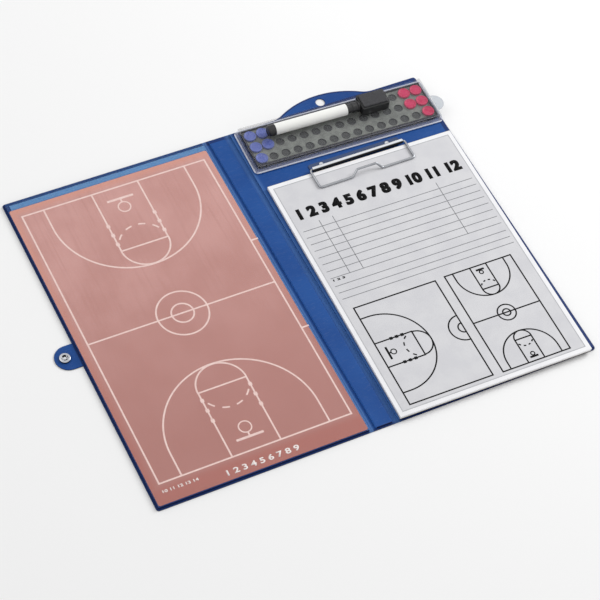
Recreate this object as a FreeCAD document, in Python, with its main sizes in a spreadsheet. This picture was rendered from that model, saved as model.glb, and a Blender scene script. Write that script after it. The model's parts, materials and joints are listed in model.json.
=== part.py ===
import FreeCAD, Part
import math
import os
from types import SimpleNamespace

import Sketcher

# A folding coach's tactics board, lying open on its back. The origin is under the
# middle of the spine. +X points to the clip leaf, +Y up the page, +Z off the table.

DRIVING_SIZES = (
    # the vinyl folder and what is welded into it
    ("leaf_width", "220", "one leaf, from its crease to its free edge"),
    ("spine_width", "27.5", "from crease to crease"),
    ("spine_board_width", "16", "stiffener in the spine"),
    ("skin_thick", "0.5", "vinyl sheet"),
    ("board_thick", "2", "grey board in each panel"),
    ("board_inset", "2.2", "board edge to leaf edge"),
    ("leaf_corner", "3", "corner radius at the free edges"),
    ("panel_round", "0.45", "rounding where the skin turns over a board"),
    # the court side
    ("steel_thick", "0.3", "sheet that the counters cling to"),
    ("card_thick", "0.35", "printed court card"),
    ("card_inset", "2.8", "card edge to leaf edge"),
    ("card_corner", "2", "corner radius of the card"),
    ("card_head", "12.2", "card to the head of the leaf"),
    ("film_inset", "2.2", "clear window edge to leaf edge"),
    ("film_thick", "0.25", "clear window over the card"),
    # the hanging tab at the head of the clip leaf
    ("tab_chord", "104", "tab, along the edge that it grows from"),
    ("tab_rise", "15", "tab crest above the leaf"),
    ("tab_blend", "24", "hollow radius at the tab's two ends"),
    ("hang_hole", "10", "hole diameter"),
    ("hang_hole_rise", "5", "hole centre above the leaf edge"),
    # the strap and its press stud
    ("strap_width", "28", "strap"),
    ("strap_reach", "22.8", "strap tip beyond the leaf"),
    ("strap_drop", "4", "strap centre line below the middle of the leaf"),
    ("snap_setback", "10", "snap centre from the strap tip"),
    ("snap_width", "11", "outside diameter of the snap"),
    ("snap_cap_thick", "0.5", "flat cap let into the strap"),
    ("snap_post", "3.2", "post diameter"),
    ("snap_post_rise", "1.6", "post above the cap"),
    ("socket_height", "2.2", "socket ring"),
    ("socket_floor", "0.6", "socket floor"),
    ("socket_round", "0.7", "rolled rim of the socket"),
    ("stud_inset", "12", "stud centre from the free edge"),
    ("stud_room", "0.7", "well wall to the stud plate"),
    ("stud_sink", "0.2", "stud below the leaf's back"),
    ("stud_plate", "11.6", "stud plate diameter"),
    ("stud_plate_thick", "0.4", "stud plate"),
    ("stud_neck", "4.2", "stud neck diameter"),
    ("stud_neck_rise", "0.7", "stud neck length"),
    ("stud_head", "5.8", "stud head diameter"),
    ("stud_head_rise", "0.7", "stud head length"),
    # the wire clip
    ("clip_length", "104", "rolled clip plate"),
    ("clip_rise", "2.8", "bail pivot above the head of the pad"),
    ("clip_sheet", "0.9", "clip plate thickness"),
    ("clip_flange", "7.4", "flange behind the upright"),
    ("clip_corner", "2.5", "flange corner radius"),
    ("knuckle_wall", "1.1", "wall of the roll round the wire"),
    ("rivet_end", "14", "rivet centre to the end of the clip plate"),
    ("rivet_setback", "3.6", "rivet centre behind the upright"),
    ("rivet_shank", "3", "rivet diameter"),
    ("rivet_head", "5", "head diameter"),
    ("rivet_head_rise", "1.3", "head height"),
    ("rivet_head_round", "1.1", "head rounding"),
    ("rivet_foot", "6", "set end diameter"),
    ("rivet_foot_thick", "0.6", "set end"),
    ("wire", "2.4", "bail wire diameter"),
    ("bail_reach", "24", "pivot to the bar that holds the paper"),
    ("bail_arm_gap", "2.5", "arm centre beyond the clip plate"),
    ("bail_pin", "10", "wire turned into each end of the roll"),
    ("bail_bend", "2.5", "corner radius of the wire"),
    ("grip_foot", "34", "finger loop, where it leaves the bar"),
    ("grip_crest", "22", "finger loop, across its top"),
    ("grip_rise", "5", "finger loop above the bar"),
    ("grip_setback", "4", "finger loop behind the bar"),
    # the note pad
    ("pad_height", "297", "note pad"),
    ("pad_back", "0.8", "backing card"),
    ("pad_stack", "2.9", "stack of sheets"),
    ("pad_sheet", "0.3", "loose upper sheets"),
    ("pad_binding", "0.4", "gum strip on the head edge"),
    ("pad_side", "2.9", "crease to the pad's foot corner"),
    ("pad_free_side", "7.1", "pad's other foot corner to the free edge"),
    ("pad_foot", "1.2", "foot of the leaf to the pad's corner"),
    ("pad_turn", "0.65", "degrees that the pad lies askew"),
    # the clear case
    ("case_width", "59", "base plate"),
    ("case_base", "1", "base plate"),
    ("case_corner", "5", "base plate corner"),
    ("case_margin", "2", "base plate to the leaf edge at each end"),
    ("case_side", "2", "case centre past the middle of the leaf"),
    ("case_rise", "14.5", "base plate above the bail pivot"),
    ("case_head", "5.5", "base plate to the head of the leaf"),
    ("case_turn", "2", "degrees that the case and marker lie askew"),
    ("tape_width", "12", "foam tape"),
    ("tape_end", "16.5", "base plate end to foam tape"),
    ("tape_side", "6.5", "base plate side to foam tape"),
    ("tape_thick", "0.8", "foam tape"),
    ("box_end", "4", "base plate beyond the end walls"),
    ("box_side", "4.5", "base plate beyond the long walls"),
    ("box_wall", "1.4", "wall"),
    ("bead_out", "0.8", "slide bead on the long walls"),
    ("bead_thick", "1.2", "slide bead"),
    ("lid_thick", "1", "sliding lid"),
    ("lid_skirt", "1.1", "skirt of the lid"),
    ("hook_thick", "1", "hook under the bead"),
    ("thumb_width", "20", "thumb tab"),
    ("thumb_reach", "10", "thumb tab beyond the lid"),
    ("thumb_drop", "9", "thumb tab below the case centre line"),
    ("insert_thick", "3", "grey counter rack"),
    ("rack_rim", "0.4", "rim that stands round the rack"),
    ("column_gap", "0.8", "between counters along the rack"),
    ("row_gap", "2.6", "between counters across the rack"),
    ("lid_room", "0.6", "counters to the lid"),
    ("pocket_depth", "1.2", "pocket depth"),
    ("pocket_lip", "0.5", "bevel round each pocket"),
    ("counter", "12.8", "counter diameter"),
    ("counter_thick", "2.4", "counter"),
    ("counter_round", "0.7", "counter edge"),
    ("magnet", "8", "magnet diameter"),
    ("magnet_room", "0.5", "magnet to the wall of its pocket"),
    # the marker
    ("marker_tail", "79", "tail end left of the case centre"),
    ("marker_side", "9", "marker axis above the case centre line"),
    ("barrel", "12", "barrel diameter"),
    ("barrel_length", "81", "barrel"),
    ("barrel_wall", "1.2", "barrel wall"),
    ("barrel_lift", "0.1", "barrel above the lid that the cap lies on"),
    ("plug_length", "8", "tail plug outside the barrel"),
    ("plug_round", "1.6", "tail plug end"),
    ("spigot", "8", "length pushed into the barrel at each end"),
    ("sleeve", "10", "front sleeve diameter"),
    ("sleeve_length", "15", "front sleeve, up to the cap"),
    ("neck", "7.6", "nib holder diameter, inside the cap"),
    ("neck_length", "9", "nib holder inside the cap"),
    ("nib", "4", "nib diameter"),
    ("nib_length", "6", "nib beyond its holder"),
    ("nib_tail", "5", "nib inside its holder"),
    ("nib_round", "1.5", "nib tip"),
    ("cap_length", "31", "eraser cap"),
    ("cap_width", "20", "eraser cap, across"),
    ("cap_above", "5.2", "cap over the marker axis"),
    ("cap_round", "1.6", "cap edges"),
    ("nib_room", "3", "nib to the end of the cap bore"),
    ("felt_thick", "1.7", "eraser felt"),
    ("felt_inset", "1.7", "felt edge to cap edge"),
    # fits
    ("fit_gap", "0.3", "running clearance round pins, posts and slides"),
    ("wire_lift", "0.1", "bail wire above the paper"),
    ("overrun", "1", "how far a cut runs past the face it opens"),
)

COUNTERS_A_SIDE = 5
FULL_TURN = 360
ORIGIN, START, END, CENTRE = -1, 1, 2, 3
SAME_PLACE = 1e-6

doc = FreeCAD.newDocument("tactics_board")
sheet = doc.addObject("Spreadsheet::Sheet", "Sizes")


class Size:
    """A length that carries its value and the sheet formula that gives it."""

    def __init__(self, formula, value):
        self.formula = formula
        self.value = value

    def joined(self, sign, other, value):
        return Size(f"({self.formula} {sign} {formula_of(other)})", value)

    def __add__(self, other):
        return self.joined("+", other, self.value + value_of(other))

    def __sub__(self, other):
        return self.joined("-", other, self.value - value_of(other))

    def __rsub__(self, other):
        return -self + other

    def __mul__(self, other):
        return self.joined("*", other, self.value * value_of(other))

    def __truediv__(self, other):
        return self.joined("/", other, self.value / value_of(other))

    def __neg__(self):
        return Size(f"(0 - {self.formula})", -self.value)


def value_of(size):
    return size.value if isinstance(size, Size) else size


def formula_of(size):
    return size.formula if isinstance(size, Size) else str(size)


def bind(thing, prop, size):
    """Tie a property to the sheet. A bare zero is the property's own default."""
    if isinstance(size, Size):
        thing.setExpression(prop, size.formula)


def fill_sheet():
    sizes = {}
    for row, (name, text, meaning) in enumerate(DRIVING_SIZES, start=1):
        sheet.set(f"A{row}", name)
        sheet.set(f"B{row}", text)
        sheet.set(f"C{row}", meaning)
        sheet.setAlias(f"B{row}", name)
        sizes[name] = Size(f"Sizes.{name}", float(text))
    doc.recompute()
    return SimpleNamespace(**sizes)


S = fill_sheet()


def pin_point(sketch, line, end, x, y):
    """Hold one point of a sketch at its distances from the sketch's origin."""
    for kind, size in (("DistanceX", x), ("DistanceY", y)):
        rule = Sketcher.Constraint(kind, ORIGIN, START, line, end, float(value_of(size)))
        bind(sketch, f"Constraints[{sketch.addConstraint(rule)}]", size)


def draw_outline(sketch, corners):
    """A closed outline of straight sides through the given corners."""
    points = [FreeCAD.Vector(value_of(x), value_of(y), 0) for x, y in corners]
    count = len(points)
    for at in range(count):
        sketch.addGeometry(Part.LineSegment(points[at], points[(at + 1) % count]), False)
    for at, (x, y) in enumerate(corners):
        sketch.addConstraint(Sketcher.Constraint("Coincident", at, END, (at + 1) % count, START))
        pin_point(sketch, at, START, x, y)


def draw_circle(sketch, x, y, diameter):
    middle = FreeCAD.Vector(value_of(x), value_of(y), 0)
    ring = Part.Circle(middle, FreeCAD.Vector(0, 0, 1), diameter.value / 2)
    at = sketch.addGeometry(ring, False)
    pin_point(sketch, at, CENTRE, x, y)
    rule = sketch.addConstraint(Sketcher.Constraint("Diameter", at, diameter.value))
    bind(sketch, f"Constraints[{rule}]", diameter)


def draw_lobe(sketch, x, y, chord, rise):
    """A round lobe that stands on a straight edge at height y, centred on x."""
    radius = (chord * chord / 4 + rise * rise) / (rise * 2)
    middle = FreeCAD.Vector(x.value, y.value + rise.value - radius.value, 0)
    half_angle = math.asin(chord.value / 2 / radius.value)
    upward = math.pi / 2
    round_edge = Part.Circle(middle, FreeCAD.Vector(0, 0, 1), radius.value)
    arc = Part.ArcOfCircle(round_edge, upward - half_angle, upward + half_angle)
    sketch.addGeometry(arc, False)
    right = FreeCAD.Vector(x.value + chord.value / 2, y.value, 0)
    left = FreeCAD.Vector(x.value - chord.value / 2, y.value, 0)
    sketch.addGeometry(Part.LineSegment(left, right), False)
    sketch.addConstraint(Sketcher.Constraint("Coincident", 0, END, 1, START))
    sketch.addConstraint(Sketcher.Constraint("Coincident", 0, START, 1, END))
    pin_point(sketch, 1, START, x - chord / 2, y)
    pin_point(sketch, 1, END, x + chord / 2, y)
    rule = sketch.addConstraint(Sketcher.Constraint("Radius", 0, radius.value))
    bind(sketch, f"Constraints[{rule}]", radius)


class Piece:
    """One sub-part: a body built up from pads, cuts and turned forms."""

    def __init__(self, label):
        self.label = label
        self.body = doc.addObject("PartDesign::Body", label)
        self.body.Label = label

    def sketch(self, role, level, rise=0):
        """An empty sketch on an origin plane, moved along the plane's normal."""
        sketch = self.body.newObject("Sketcher::SketchObject", f"{self.label}_sketch")
        planes = [plane for plane in self.body.Origin.OriginFeatures if plane.Role == role]
        sketch.AttachmentSupport = [(planes[0], "")]
        sketch.MapMode = "FlatFace"
        bind(sketch, "AttachmentOffset.Base.z", level)
        bind(sketch, "AttachmentOffset.Base.y", rise)
        return sketch

    def feature(self, kind, sketch, length):
        feature = self.body.newObject(f"PartDesign::{kind}", f"{self.label}_{kind}")
        feature.Profile = sketch
        feature.Reversed = kind == "Pocket"
        bind(feature, "Length", length)

    def block(self, x_span, y_span, level, height, kind="Pad"):
        """A plain block between two pairs of sides, standing on a level."""
        sketch = self.sketch("XY_Plane", level)
        corners = [(x_span[0], y_span[0]), (x_span[1], y_span[0])]
        corners += [(x_span[1], y_span[1]), (x_span[0], y_span[1])]
        draw_outline(sketch, corners)
        self.feature(kind, sketch, height)

    def hollow(self, x_span, y_span, level, height):
        self.block(x_span, y_span, level, height, kind="Pocket")

    def discs(self, places, diameter, level, height, kind="Pad"):
        """Round pads on the given centres, standing on a level."""
        sketch = self.sketch("XY_Plane", level)
        for x, y in places:
            draw_circle(sketch, x, y, diameter)
        self.feature(kind, sketch, height)

    def bores(self, places, diameter, level, depth):
        self.discs(places, diameter, level, depth, kind="Pocket")

    def along_x(self, corners, start, length):
        """A profile in Y and Z, drawn out along X."""
        sketch = self.sketch("YZ_Plane", start)
        draw_outline(sketch, corners)
        self.feature("Pad", sketch, length)

    def rod_along_x(self, y, z, diameter, start, length, kind="Pad"):
        sketch = self.sketch("YZ_Plane", start)
        draw_circle(sketch, y, z, diameter)
        self.feature(kind, sketch, length)

    def turned(self, profile, y, z):
        """A profile of places along X and radii, turned about a line along X."""
        sketch = self.sketch("XZ_Plane", -y, rise=z)
        draw_outline(sketch, profile)
        turned = self.body.newObject("PartDesign::Revolution", f"{self.label}_Revolution")
        turned.Profile = sketch
        turned.ReferenceAxis = (sketch, ["H_Axis"])
        turned.Angle = FULL_TURN

    def soften(self, kind, size, wanted):
        """Fillet or chamfer the edges of the form so far that a test picks out."""
        doc.recompute()
        base = self.body.Tip
        names = [f"Edge{at}" for at, edge in enumerate(base.Shape.Edges, start=1) if wanted(edge)]
        feature = self.body.newObject(f"PartDesign::{kind}", f"{self.label}_{kind}")
        feature.Base = (base, names)
        bind(feature, "Radius" if kind == "Fillet" else "Size", size)

    def seat(self, x, y, z, clockwise):
        """Lay a piece that was drawn about its own origin in its place."""
        turn = FreeCAD.Rotation(FreeCAD.Vector(0, 0, -1), clockwise.value)
        place = FreeCAD.Vector(x.value, y.value, z.value)
        self.body.Placement = FreeCAD.Placement(place, turn)
        bind(self.body, "Placement.Base.x", x)
        bind(self.body, "Placement.Base.y", y)
        bind(self.body, "Placement.Base.z", z)
        bind(self.body, "Placement.Rotation.Angle", clockwise)


def is_near(value, size):
    return abs(value - value_of(size)) < SAME_PLACE


def is_upright(edge):
    """True for a straight edge that runs along Z."""
    low, high = edge.BoundBox.ZMin, edge.BoundBox.ZMax
    return high - low > SAME_PLACE and abs(edge.Length - (high - low)) < SAME_PLACE


def lies_at(level):
    """A test for edges that lie flat at one height."""
    return lambda edge: is_near(edge.BoundBox.ZMin, level) and is_near(edge.BoundBox.ZMax, level)


def upright_at(x=None, y=None):
    """A test for upright edges at a place in X, in Y or both."""

    def wanted(edge):
        box = edge.BoundBox
        fits_x = x is None or is_near(box.XMin, x)
        fits_y = y is None or is_near(box.YMin, y)
        return is_upright(edge) and fits_x and fits_y

    return wanted


finished = []


def keep(piece):
    finished.append(piece.body)


def keep_group(label, pieces):
    """Identical pieces share one node as a group of separate solids."""
    group = doc.addObject("Part::Compound", label)
    group.Label = label
    group.Links = [piece.body for piece in pieces]
    finished.append(group)


# Levels and lines that several pieces share.
leaf_height = S.pad_foot + S.pad_height + S.clip_rise + S.case_rise + S.case_width + S.case_head
half_height = leaf_height / 2
crease = S.spine_width / 2
free_edge = crease + S.leaf_width
web_thick = S.skin_thick * 2
clip_page = S.skin_thick * 2 + S.board_thick
court_page = clip_page + S.steel_thick
leaf_middle = crease + S.leaf_width / 2
board_y = (S.board_inset - half_height, half_height - S.board_inset)
page_y = (-half_height, half_height)
pivot_y = S.pad_foot + S.pad_height + S.clip_rise - half_height
knuckle_radius = S.wire / 2 + S.fit_gap + S.knuckle_wall
rivet_hole = S.rivet_shank + S.fit_gap * 2
stud_well = S.stud_plate + S.stud_room * 2
stud_well_depth = S.stud_plate_thick + S.stud_neck_rise + S.stud_head_rise + S.stud_sink


# The folder: two vinyl skins welded round stiff boards, creased each side of the spine.


def grow_from(span, margin):
    return (span[0] - margin, span[1] + margin)


def raised_panel(piece, x_span, level, core):
    """Lift a skin over its board: a raised panel with a cavity of the board's size."""
    height = core + S.skin_thick
    piece.block(grow_from(x_span, S.skin_thick), grow_from(board_y, S.skin_thick), level, height)
    piece.soften("Fillet", S.panel_round, lies_at(height + level))
    piece.hollow(x_span, board_y, level, core)


def leaf_board_x(side):
    """The span in X of a leaf's board. The clip leaf is on side 1, the court on -1."""
    span = (crease + S.board_inset, free_edge - S.board_inset)
    return span if side > 0 else (-span[1], -span[0])


def leaf_sheet(piece, side, level):
    """One flat vinyl skin of a leaf, rounded at its two free corners."""
    span = (crease, free_edge) if side > 0 else (-free_edge, -crease)
    edge = free_edge if side > 0 else -free_edge
    piece.block(span, page_y, level, S.skin_thick)
    piece.soften("Fillet", S.leaf_corner, upright_at(x=edge))


def hang_tab(piece, level):
    """The lobe at the head of the clip leaf, blended into the edge, with its hole."""
    sketch = piece.sketch("XY_Plane", level)
    draw_lobe(sketch, leaf_middle, half_height, S.tab_chord, S.tab_rise)
    piece.feature("Pad", sketch, S.skin_thick)
    for end in (leaf_middle - S.tab_chord / 2, leaf_middle + S.tab_chord / 2):
        piece.soften("Fillet", S.tab_blend, upright_at(x=end, y=half_height))
    hole = (leaf_middle, half_height + S.hang_hole_rise)
    piece.bores([hole], S.hang_hole, level - S.overrun, S.skin_thick + S.overrun * 2)


def stud_place():
    return (free_edge - S.stud_inset, -S.strap_drop)


def rivet_places():
    y = pivot_y + knuckle_radius + S.rivet_setback
    reach = S.clip_length / 2 - S.rivet_end
    return [(leaf_middle - reach, y), (leaf_middle + reach, y)]


def clip_outer_skin():
    piece = Piece("clip_outer_skin")
    leaf_sheet(piece, 1, 0)
    hang_tab(piece, 0)
    piece.bores([stud_place()], stud_well, -S.overrun, S.skin_thick + S.overrun * 2)
    keep(piece)


def clip_board():
    piece = Piece("clip_board")
    piece.block(leaf_board_x(1), board_y, S.skin_thick, S.board_thick)
    piece.bores([stud_place()], stud_well, 0, stud_well_depth)
    piece.bores(rivet_places(), rivet_hole, 0, clip_page)
    piece.bores(rivet_places(), S.rivet_foot + S.fit_gap * 2, 0, S.skin_thick + S.rivet_foot_thick)
    keep(piece)


def clip_inner_skin():
    piece = Piece("clip_inner_skin")
    leaf_sheet(piece, 1, S.skin_thick)
    hang_tab(piece, S.skin_thick)
    raised_panel(piece, leaf_board_x(1), S.skin_thick, S.board_thick)
    piece.bores(rivet_places(), rivet_hole, S.skin_thick, clip_page)
    keep(piece)


def spine_pieces():
    board_x = (-S.spine_board_width / 2, S.spine_board_width / 2)
    outer = Piece("spine_outer_skin")
    outer.block((-crease, crease), page_y, 0, S.skin_thick)
    keep(outer)
    board = Piece("spine_board")
    board.block(board_x, board_y, S.skin_thick, S.board_thick)
    keep(board)
    inner = Piece("spine_inner_skin")
    inner.block((-crease, crease), page_y, S.skin_thick, S.skin_thick)
    raised_panel(inner, board_x, S.skin_thick, S.board_thick)
    keep(inner)


def court_leaf_pieces():
    board_x = leaf_board_x(-1)
    outer = Piece("court_outer_skin")
    leaf_sheet(outer, -1, 0)
    keep(outer)
    board = Piece("court_board")
    board.block(board_x, board_y, S.skin_thick, S.board_thick)
    keep(board)
    steel = Piece("court_steel_sheet")
    steel.block(board_x, board_y, S.skin_thick + S.board_thick, S.steel_thick)
    keep(steel)
    inner = Piece("court_inner_skin")
    leaf_sheet(inner, -1, S.skin_thick)
    raised_panel(inner, board_x, S.skin_thick, S.board_thick + S.steel_thick)
    keep(inner)


card_x = (S.card_inset - free_edge, -crease - S.card_inset)
card_y = (S.card_inset - half_height, half_height - S.card_head)


def court_card():
    piece = Piece("court_card")
    piece.block(card_x, card_y, court_page, S.card_thick)
    piece.soften("Fillet", S.card_corner, is_upright)
    keep(piece)


def court_window():
    """The clear sheet that holds the card down, welded to the skin all round it."""
    piece = Piece("court_window")
    span_x = (S.film_inset - free_edge, -crease - S.film_inset)
    span_y = (S.film_inset - half_height, half_height - S.film_inset)
    piece.block(span_x, span_y, court_page, S.card_thick + S.film_thick)
    piece.soften("Fillet", S.card_corner, is_upright)
    piece.hollow(card_x, card_y, court_page, S.card_thick)
    keep(piece)


# The strap on the court leaf's free edge, with one half of the press stud.

strap_tip = -free_edge - S.strap_reach
strap_y = (-S.strap_drop - S.strap_width / 2, S.strap_width / 2 - S.strap_drop)
snap_place = (strap_tip + S.snap_setback, -S.strap_drop)


def closing_strap():
    piece = Piece("closing_strap")
    round_x = strap_tip + S.strap_width / 2
    piece.block((round_x, -free_edge), strap_y, 0, web_thick)
    piece.discs([(round_x, -S.strap_drop)], S.strap_width, 0, web_thick)
    behind_edge = (-free_edge, S.strap_width - free_edge)
    piece.hollow(behind_edge, grow_from(strap_y, S.overrun), 0, web_thick)
    piece.bores([snap_place], S.snap_width + S.fit_gap * 2, -S.overrun, S.snap_cap_thick + S.overrun)
    piece.bores([snap_place], S.snap_post + S.fit_gap * 2, 0, web_thick + S.overrun)
    keep(piece)


def snap_cap():
    piece = Piece("snap_cap")
    piece.discs([snap_place], S.snap_width, 0, S.snap_cap_thick)
    piece.discs([snap_place], S.snap_post, S.snap_cap_thick, S.snap_post_rise)
    keep(piece)


def snap_socket():
    piece = Piece("snap_socket")
    piece.discs([snap_place], S.snap_width, web_thick, S.socket_height)
    rim = web_thick + S.socket_height
    piece.soften("Fillet", S.socket_round, lies_at(rim))
    mouth = S.stud_head + S.fit_gap * 2
    piece.bores([snap_place], mouth, web_thick + S.socket_floor, S.socket_height)
    piece.bores([snap_place], S.snap_post + S.fit_gap * 2, 0, rim)
    keep(piece)


def snap_stud():
    """The other half of the press stud, sunk in the clip leaf's back."""
    piece = Piece("snap_stud")
    top = stud_well_depth
    plate = top - S.stud_plate_thick
    neck = plate - S.stud_neck_rise
    piece.discs([stud_place()], S.stud_plate, plate, S.stud_plate_thick)
    piece.discs([stud_place()], S.stud_neck, neck, S.stud_neck_rise)
    piece.discs([stud_place()], S.stud_head, neck - S.stud_head_rise, S.stud_head_rise)
    keep(piece)


# The wire clip: a rolled plate riveted to the board, and a sprung wire bail.

pad_top = clip_page + S.pad_back + S.pad_stack + S.pad_sheet
pivot_z = pad_top + S.wire_lift + S.wire / 2
clip_x = (leaf_middle - S.clip_length / 2, leaf_middle + S.clip_length / 2)


def clip_plate():
    piece = Piece("clip_plate")
    back = pivot_y + knuckle_radius
    piece.block(clip_x, (back - S.clip_sheet, back + S.clip_flange), clip_page, S.clip_sheet)
    piece.soften("Fillet", S.clip_corner, upright_at(y=back + S.clip_flange))
    piece.block(clip_x, (back - S.clip_sheet, back), clip_page, pivot_z - clip_page)
    piece.rod_along_x(pivot_y, pivot_z, knuckle_radius * 2, clip_x[0], S.clip_length)
    bore = S.wire + S.fit_gap * 2
    start = clip_x[0] - S.overrun
    piece.rod_along_x(pivot_y, pivot_z, bore, start, S.clip_length + S.overrun * 2, kind="Pocket")
    piece.bores(rivet_places(), rivet_hole, 0, clip_page + S.overrun * 2)
    keep(piece)


def clip_rivets():
    rivets = []
    top = clip_page + S.clip_sheet
    for at, place in enumerate(rivet_places(), start=1):
        rivet = Piece(f"clip_rivet_{at}")
        rivet.discs([place], S.rivet_head, top, S.rivet_head_rise)
        rivet.soften("Fillet", S.rivet_head_round, lies_at(top + S.rivet_head_rise))
        rivet.discs([place], S.rivet_shank, S.skin_thick, top - S.skin_thick)
        rivet.discs([place], S.rivet_foot, S.skin_thick, S.rivet_foot_thick)
        rivets.append(rivet)
    keep_group("clip_rivets", rivets)


def bent_wire(points, bend, diameter):
    """A round wire through the given points, with an arc at each bend."""
    edges = []
    start = points[0]
    for before, corner, after in zip(points, points[1:], points[2:]):
        back = (before - corner).normalize()
        ahead = (after - corner).normalize()
        half_turn = back.getAngle(ahead) / 2
        cut = bend / math.tan(half_turn)
        inward = (back + ahead).normalize()
        middle = corner + inward * (bend / math.sin(half_turn) - bend)
        edges.append(Part.LineSegment(start, corner + back * cut).toShape())
        edges.append(Part.Arc(corner + back * cut, middle, corner + ahead * cut).toShape())
        start = corner + ahead * cut
    edges.append(Part.LineSegment(start, points[-1]).toShape())
    ring = Part.Circle(points[0], points[1] - points[0], diameter / 2)
    path = Part.Wire(edges)
    shape = path.makePipeShell([Part.Wire(ring.toShape())], True, True)
    print("bail wire length", round(path.Length, 1), "volume", round(shape.Volume, 1))
    return shape


def bail_wire():
    """The bail: pins in the roll, two arms, and a bar with a raised finger loop."""
    arm = S.clip_length / 2 + S.bail_arm_gap
    pin = S.clip_length / 2 - S.bail_pin
    bar_y = pivot_y - S.bail_reach
    half = [
        (pin, pivot_y, pivot_z),
        (arm, pivot_y, pivot_z),
        (arm, bar_y, pivot_z),
        (S.grip_foot / 2, bar_y, pivot_z),
        (S.grip_crest / 2, bar_y + S.grip_setback, pivot_z + S.grip_rise),
    ]
    left = [(leaf_middle - x, y, z) for x, y, z in half]
    right = [(leaf_middle + x, y, z) for x, y, z in reversed(half)]
    points = [FreeCAD.Vector(x.value, y.value, z.value) for x, y, z in left + right]
    bail = doc.addObject("Part::Feature", "bail_wire")
    bail.Label = "bail_wire"
    bail.Shape = bent_wire(points, S.bail_bend.value, S.wire.value)
    finished.append(bail)


# The note pad, gummed along its head edge and lying a little askew under the bail.


def seat_pad(piece):
    piece.seat(crease + S.pad_side, S.pad_foot - half_height, clip_page, S.pad_turn)
    keep(piece)


def note_pad():
    pad_width = S.leaf_width - S.pad_side - S.pad_free_side
    layers = (("pad_backing", S.pad_back), ("pad_stack", S.pad_stack), ("pad_sheets", S.pad_sheet))
    level = 0
    for label, thick in layers:
        piece = Piece(label)
        piece.block((0, pad_width), (0, S.pad_height), level, thick)
        level = thick + level
        seat_pad(piece)
    binding = Piece("pad_binding")
    binding.block((0, pad_width), (S.pad_height, S.pad_height + S.pad_binding), 0, level)
    seat_pad(binding)


# The clear case of counters, stuck to the leaf, with a lid that slides off to the right.
# Everything in it and on it is drawn about the middle of the case's underside.

case_x = leaf_middle + S.case_side
case_y = pivot_y + S.case_rise + S.case_width / 2
case_z = clip_page + S.tape_thick
base_x = (S.case_margin - S.leaf_width / 2, S.leaf_width / 2 - S.case_margin)
base_y = (-S.case_width / 2, S.case_width / 2)
wall_x = grow_from(base_x, -S.box_end)
wall_y = grow_from(base_y, -S.box_side)
box_rise = S.insert_thick + S.counter_thick + S.lid_room
wall_top = S.case_base + box_rise
case_top = wall_top + S.lid_thick
inside_x = grow_from(wall_x, -S.box_wall)
inside_y = grow_from(wall_y, -S.box_wall)


def seat_case(piece):
    piece.seat(case_x, case_y, case_z, S.case_turn)


def case_tape():
    strips = []
    for side in (-1, 1):
        strip = Piece(f"case_tape_{'lower' if side < 0 else 'upper'}")
        middle = (S.case_width / 2 - S.tape_side - S.tape_width / 2) * side
        span_y = (middle - S.tape_width / 2, middle + S.tape_width / 2)
        strip.block(grow_from(base_x, -S.tape_end), span_y, -S.tape_thick, S.tape_thick)
        seat_case(strip)
        strips.append(strip)
    keep_group("case_tape", strips)


def case_tray():
    piece = Piece("case_tray")
    piece.block(base_x, base_y, 0, S.case_base)
    piece.soften("Fillet", S.case_corner, is_upright)
    piece.block(wall_x, wall_y, S.case_base, box_rise)
    bead_y = grow_from(wall_y, S.bead_out)
    piece.block(wall_x, bead_y, wall_top - S.bead_thick, S.bead_thick)
    piece.hollow(inside_x, inside_y, S.case_base, box_rise + S.overrun)
    seat_case(piece)
    keep(piece)


rack_x = grow_from(inside_x, -S.fit_gap)
rack_y = grow_from(inside_y, -S.fit_gap)
rack_top = S.case_base + S.insert_thick
cells_x = grow_from(rack_x, -S.rack_rim)
cells_y = grow_from(rack_y, -S.rack_rim)
column_pitch = S.counter + S.column_gap
row_pitch = S.counter + S.row_gap


def how_many(span, gap, pitch):
    """How many counters, with gaps between them, fit in a span."""
    return int((span[1].value - span[0].value + gap.value) // pitch.value)


COLUMNS = how_many(cells_x, S.column_gap, column_pitch)
ROWS = how_many(cells_y, S.row_gap, row_pitch)


def pocket_place(column, row):
    """Centre of a pocket: columns count from the left, rows from the head."""
    x = column_pitch * (column - (COLUMNS - 1) / 2)
    y = row_pitch * ((ROWS - 1) / 2 - row)
    return (x, y)


def counter_rack():
    """The grey rack: a rimmed plate with a grid of bevelled round pockets."""
    piece = Piece("counter_rack")
    piece.block(rack_x, rack_y, S.case_base, S.insert_thick + S.counter_thick)
    piece.hollow(cells_x, cells_y, rack_top, S.counter_thick + S.overrun)
    places = [pocket_place(column, row) for column in range(COLUMNS) for row in range(ROWS)]
    pocket = S.magnet + S.magnet_room * 2
    piece.bores(places, pocket, rack_top - S.pocket_depth, S.pocket_depth + S.overrun)
    is_rim = lies_at(rack_top)
    piece.soften("Chamfer", S.pocket_lip, lambda edge: is_rim(edge) and edge.Closed)
    seat_case(piece)
    keep(piece)


def counters_and_magnets():
    """Ten counters, each a coloured disc on a magnet that drops into a pocket."""
    blue_pockets = [divmod(at, ROWS) for at in range(COUNTERS_A_SIDE)]
    red_pockets = [(COLUMNS - 1 - column, row) for column, row in blue_pockets]
    magnets = []
    for colour, pockets in (("blue", blue_pockets), ("red", red_pockets)):
        discs = []
        for at, pocket in enumerate(pockets, start=1):
            place = pocket_place(*pocket)
            disc = Piece(f"{colour}_counter_{at}")
            disc.discs([place], S.counter, rack_top, S.counter_thick)
            disc.soften("Fillet", S.counter_round, lies_at(rack_top + S.counter_thick))
            seat_case(disc)
            discs.append(disc)
            magnet = Piece(f"{colour}_magnet_{at}")
            magnet.discs([place], S.magnet, rack_top - S.pocket_depth, S.pocket_depth)
            seat_case(magnet)
            magnets.append(magnet)
        keep_group(f"{colour}_counters", discs)
    keep_group("counter_magnets", magnets)


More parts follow.
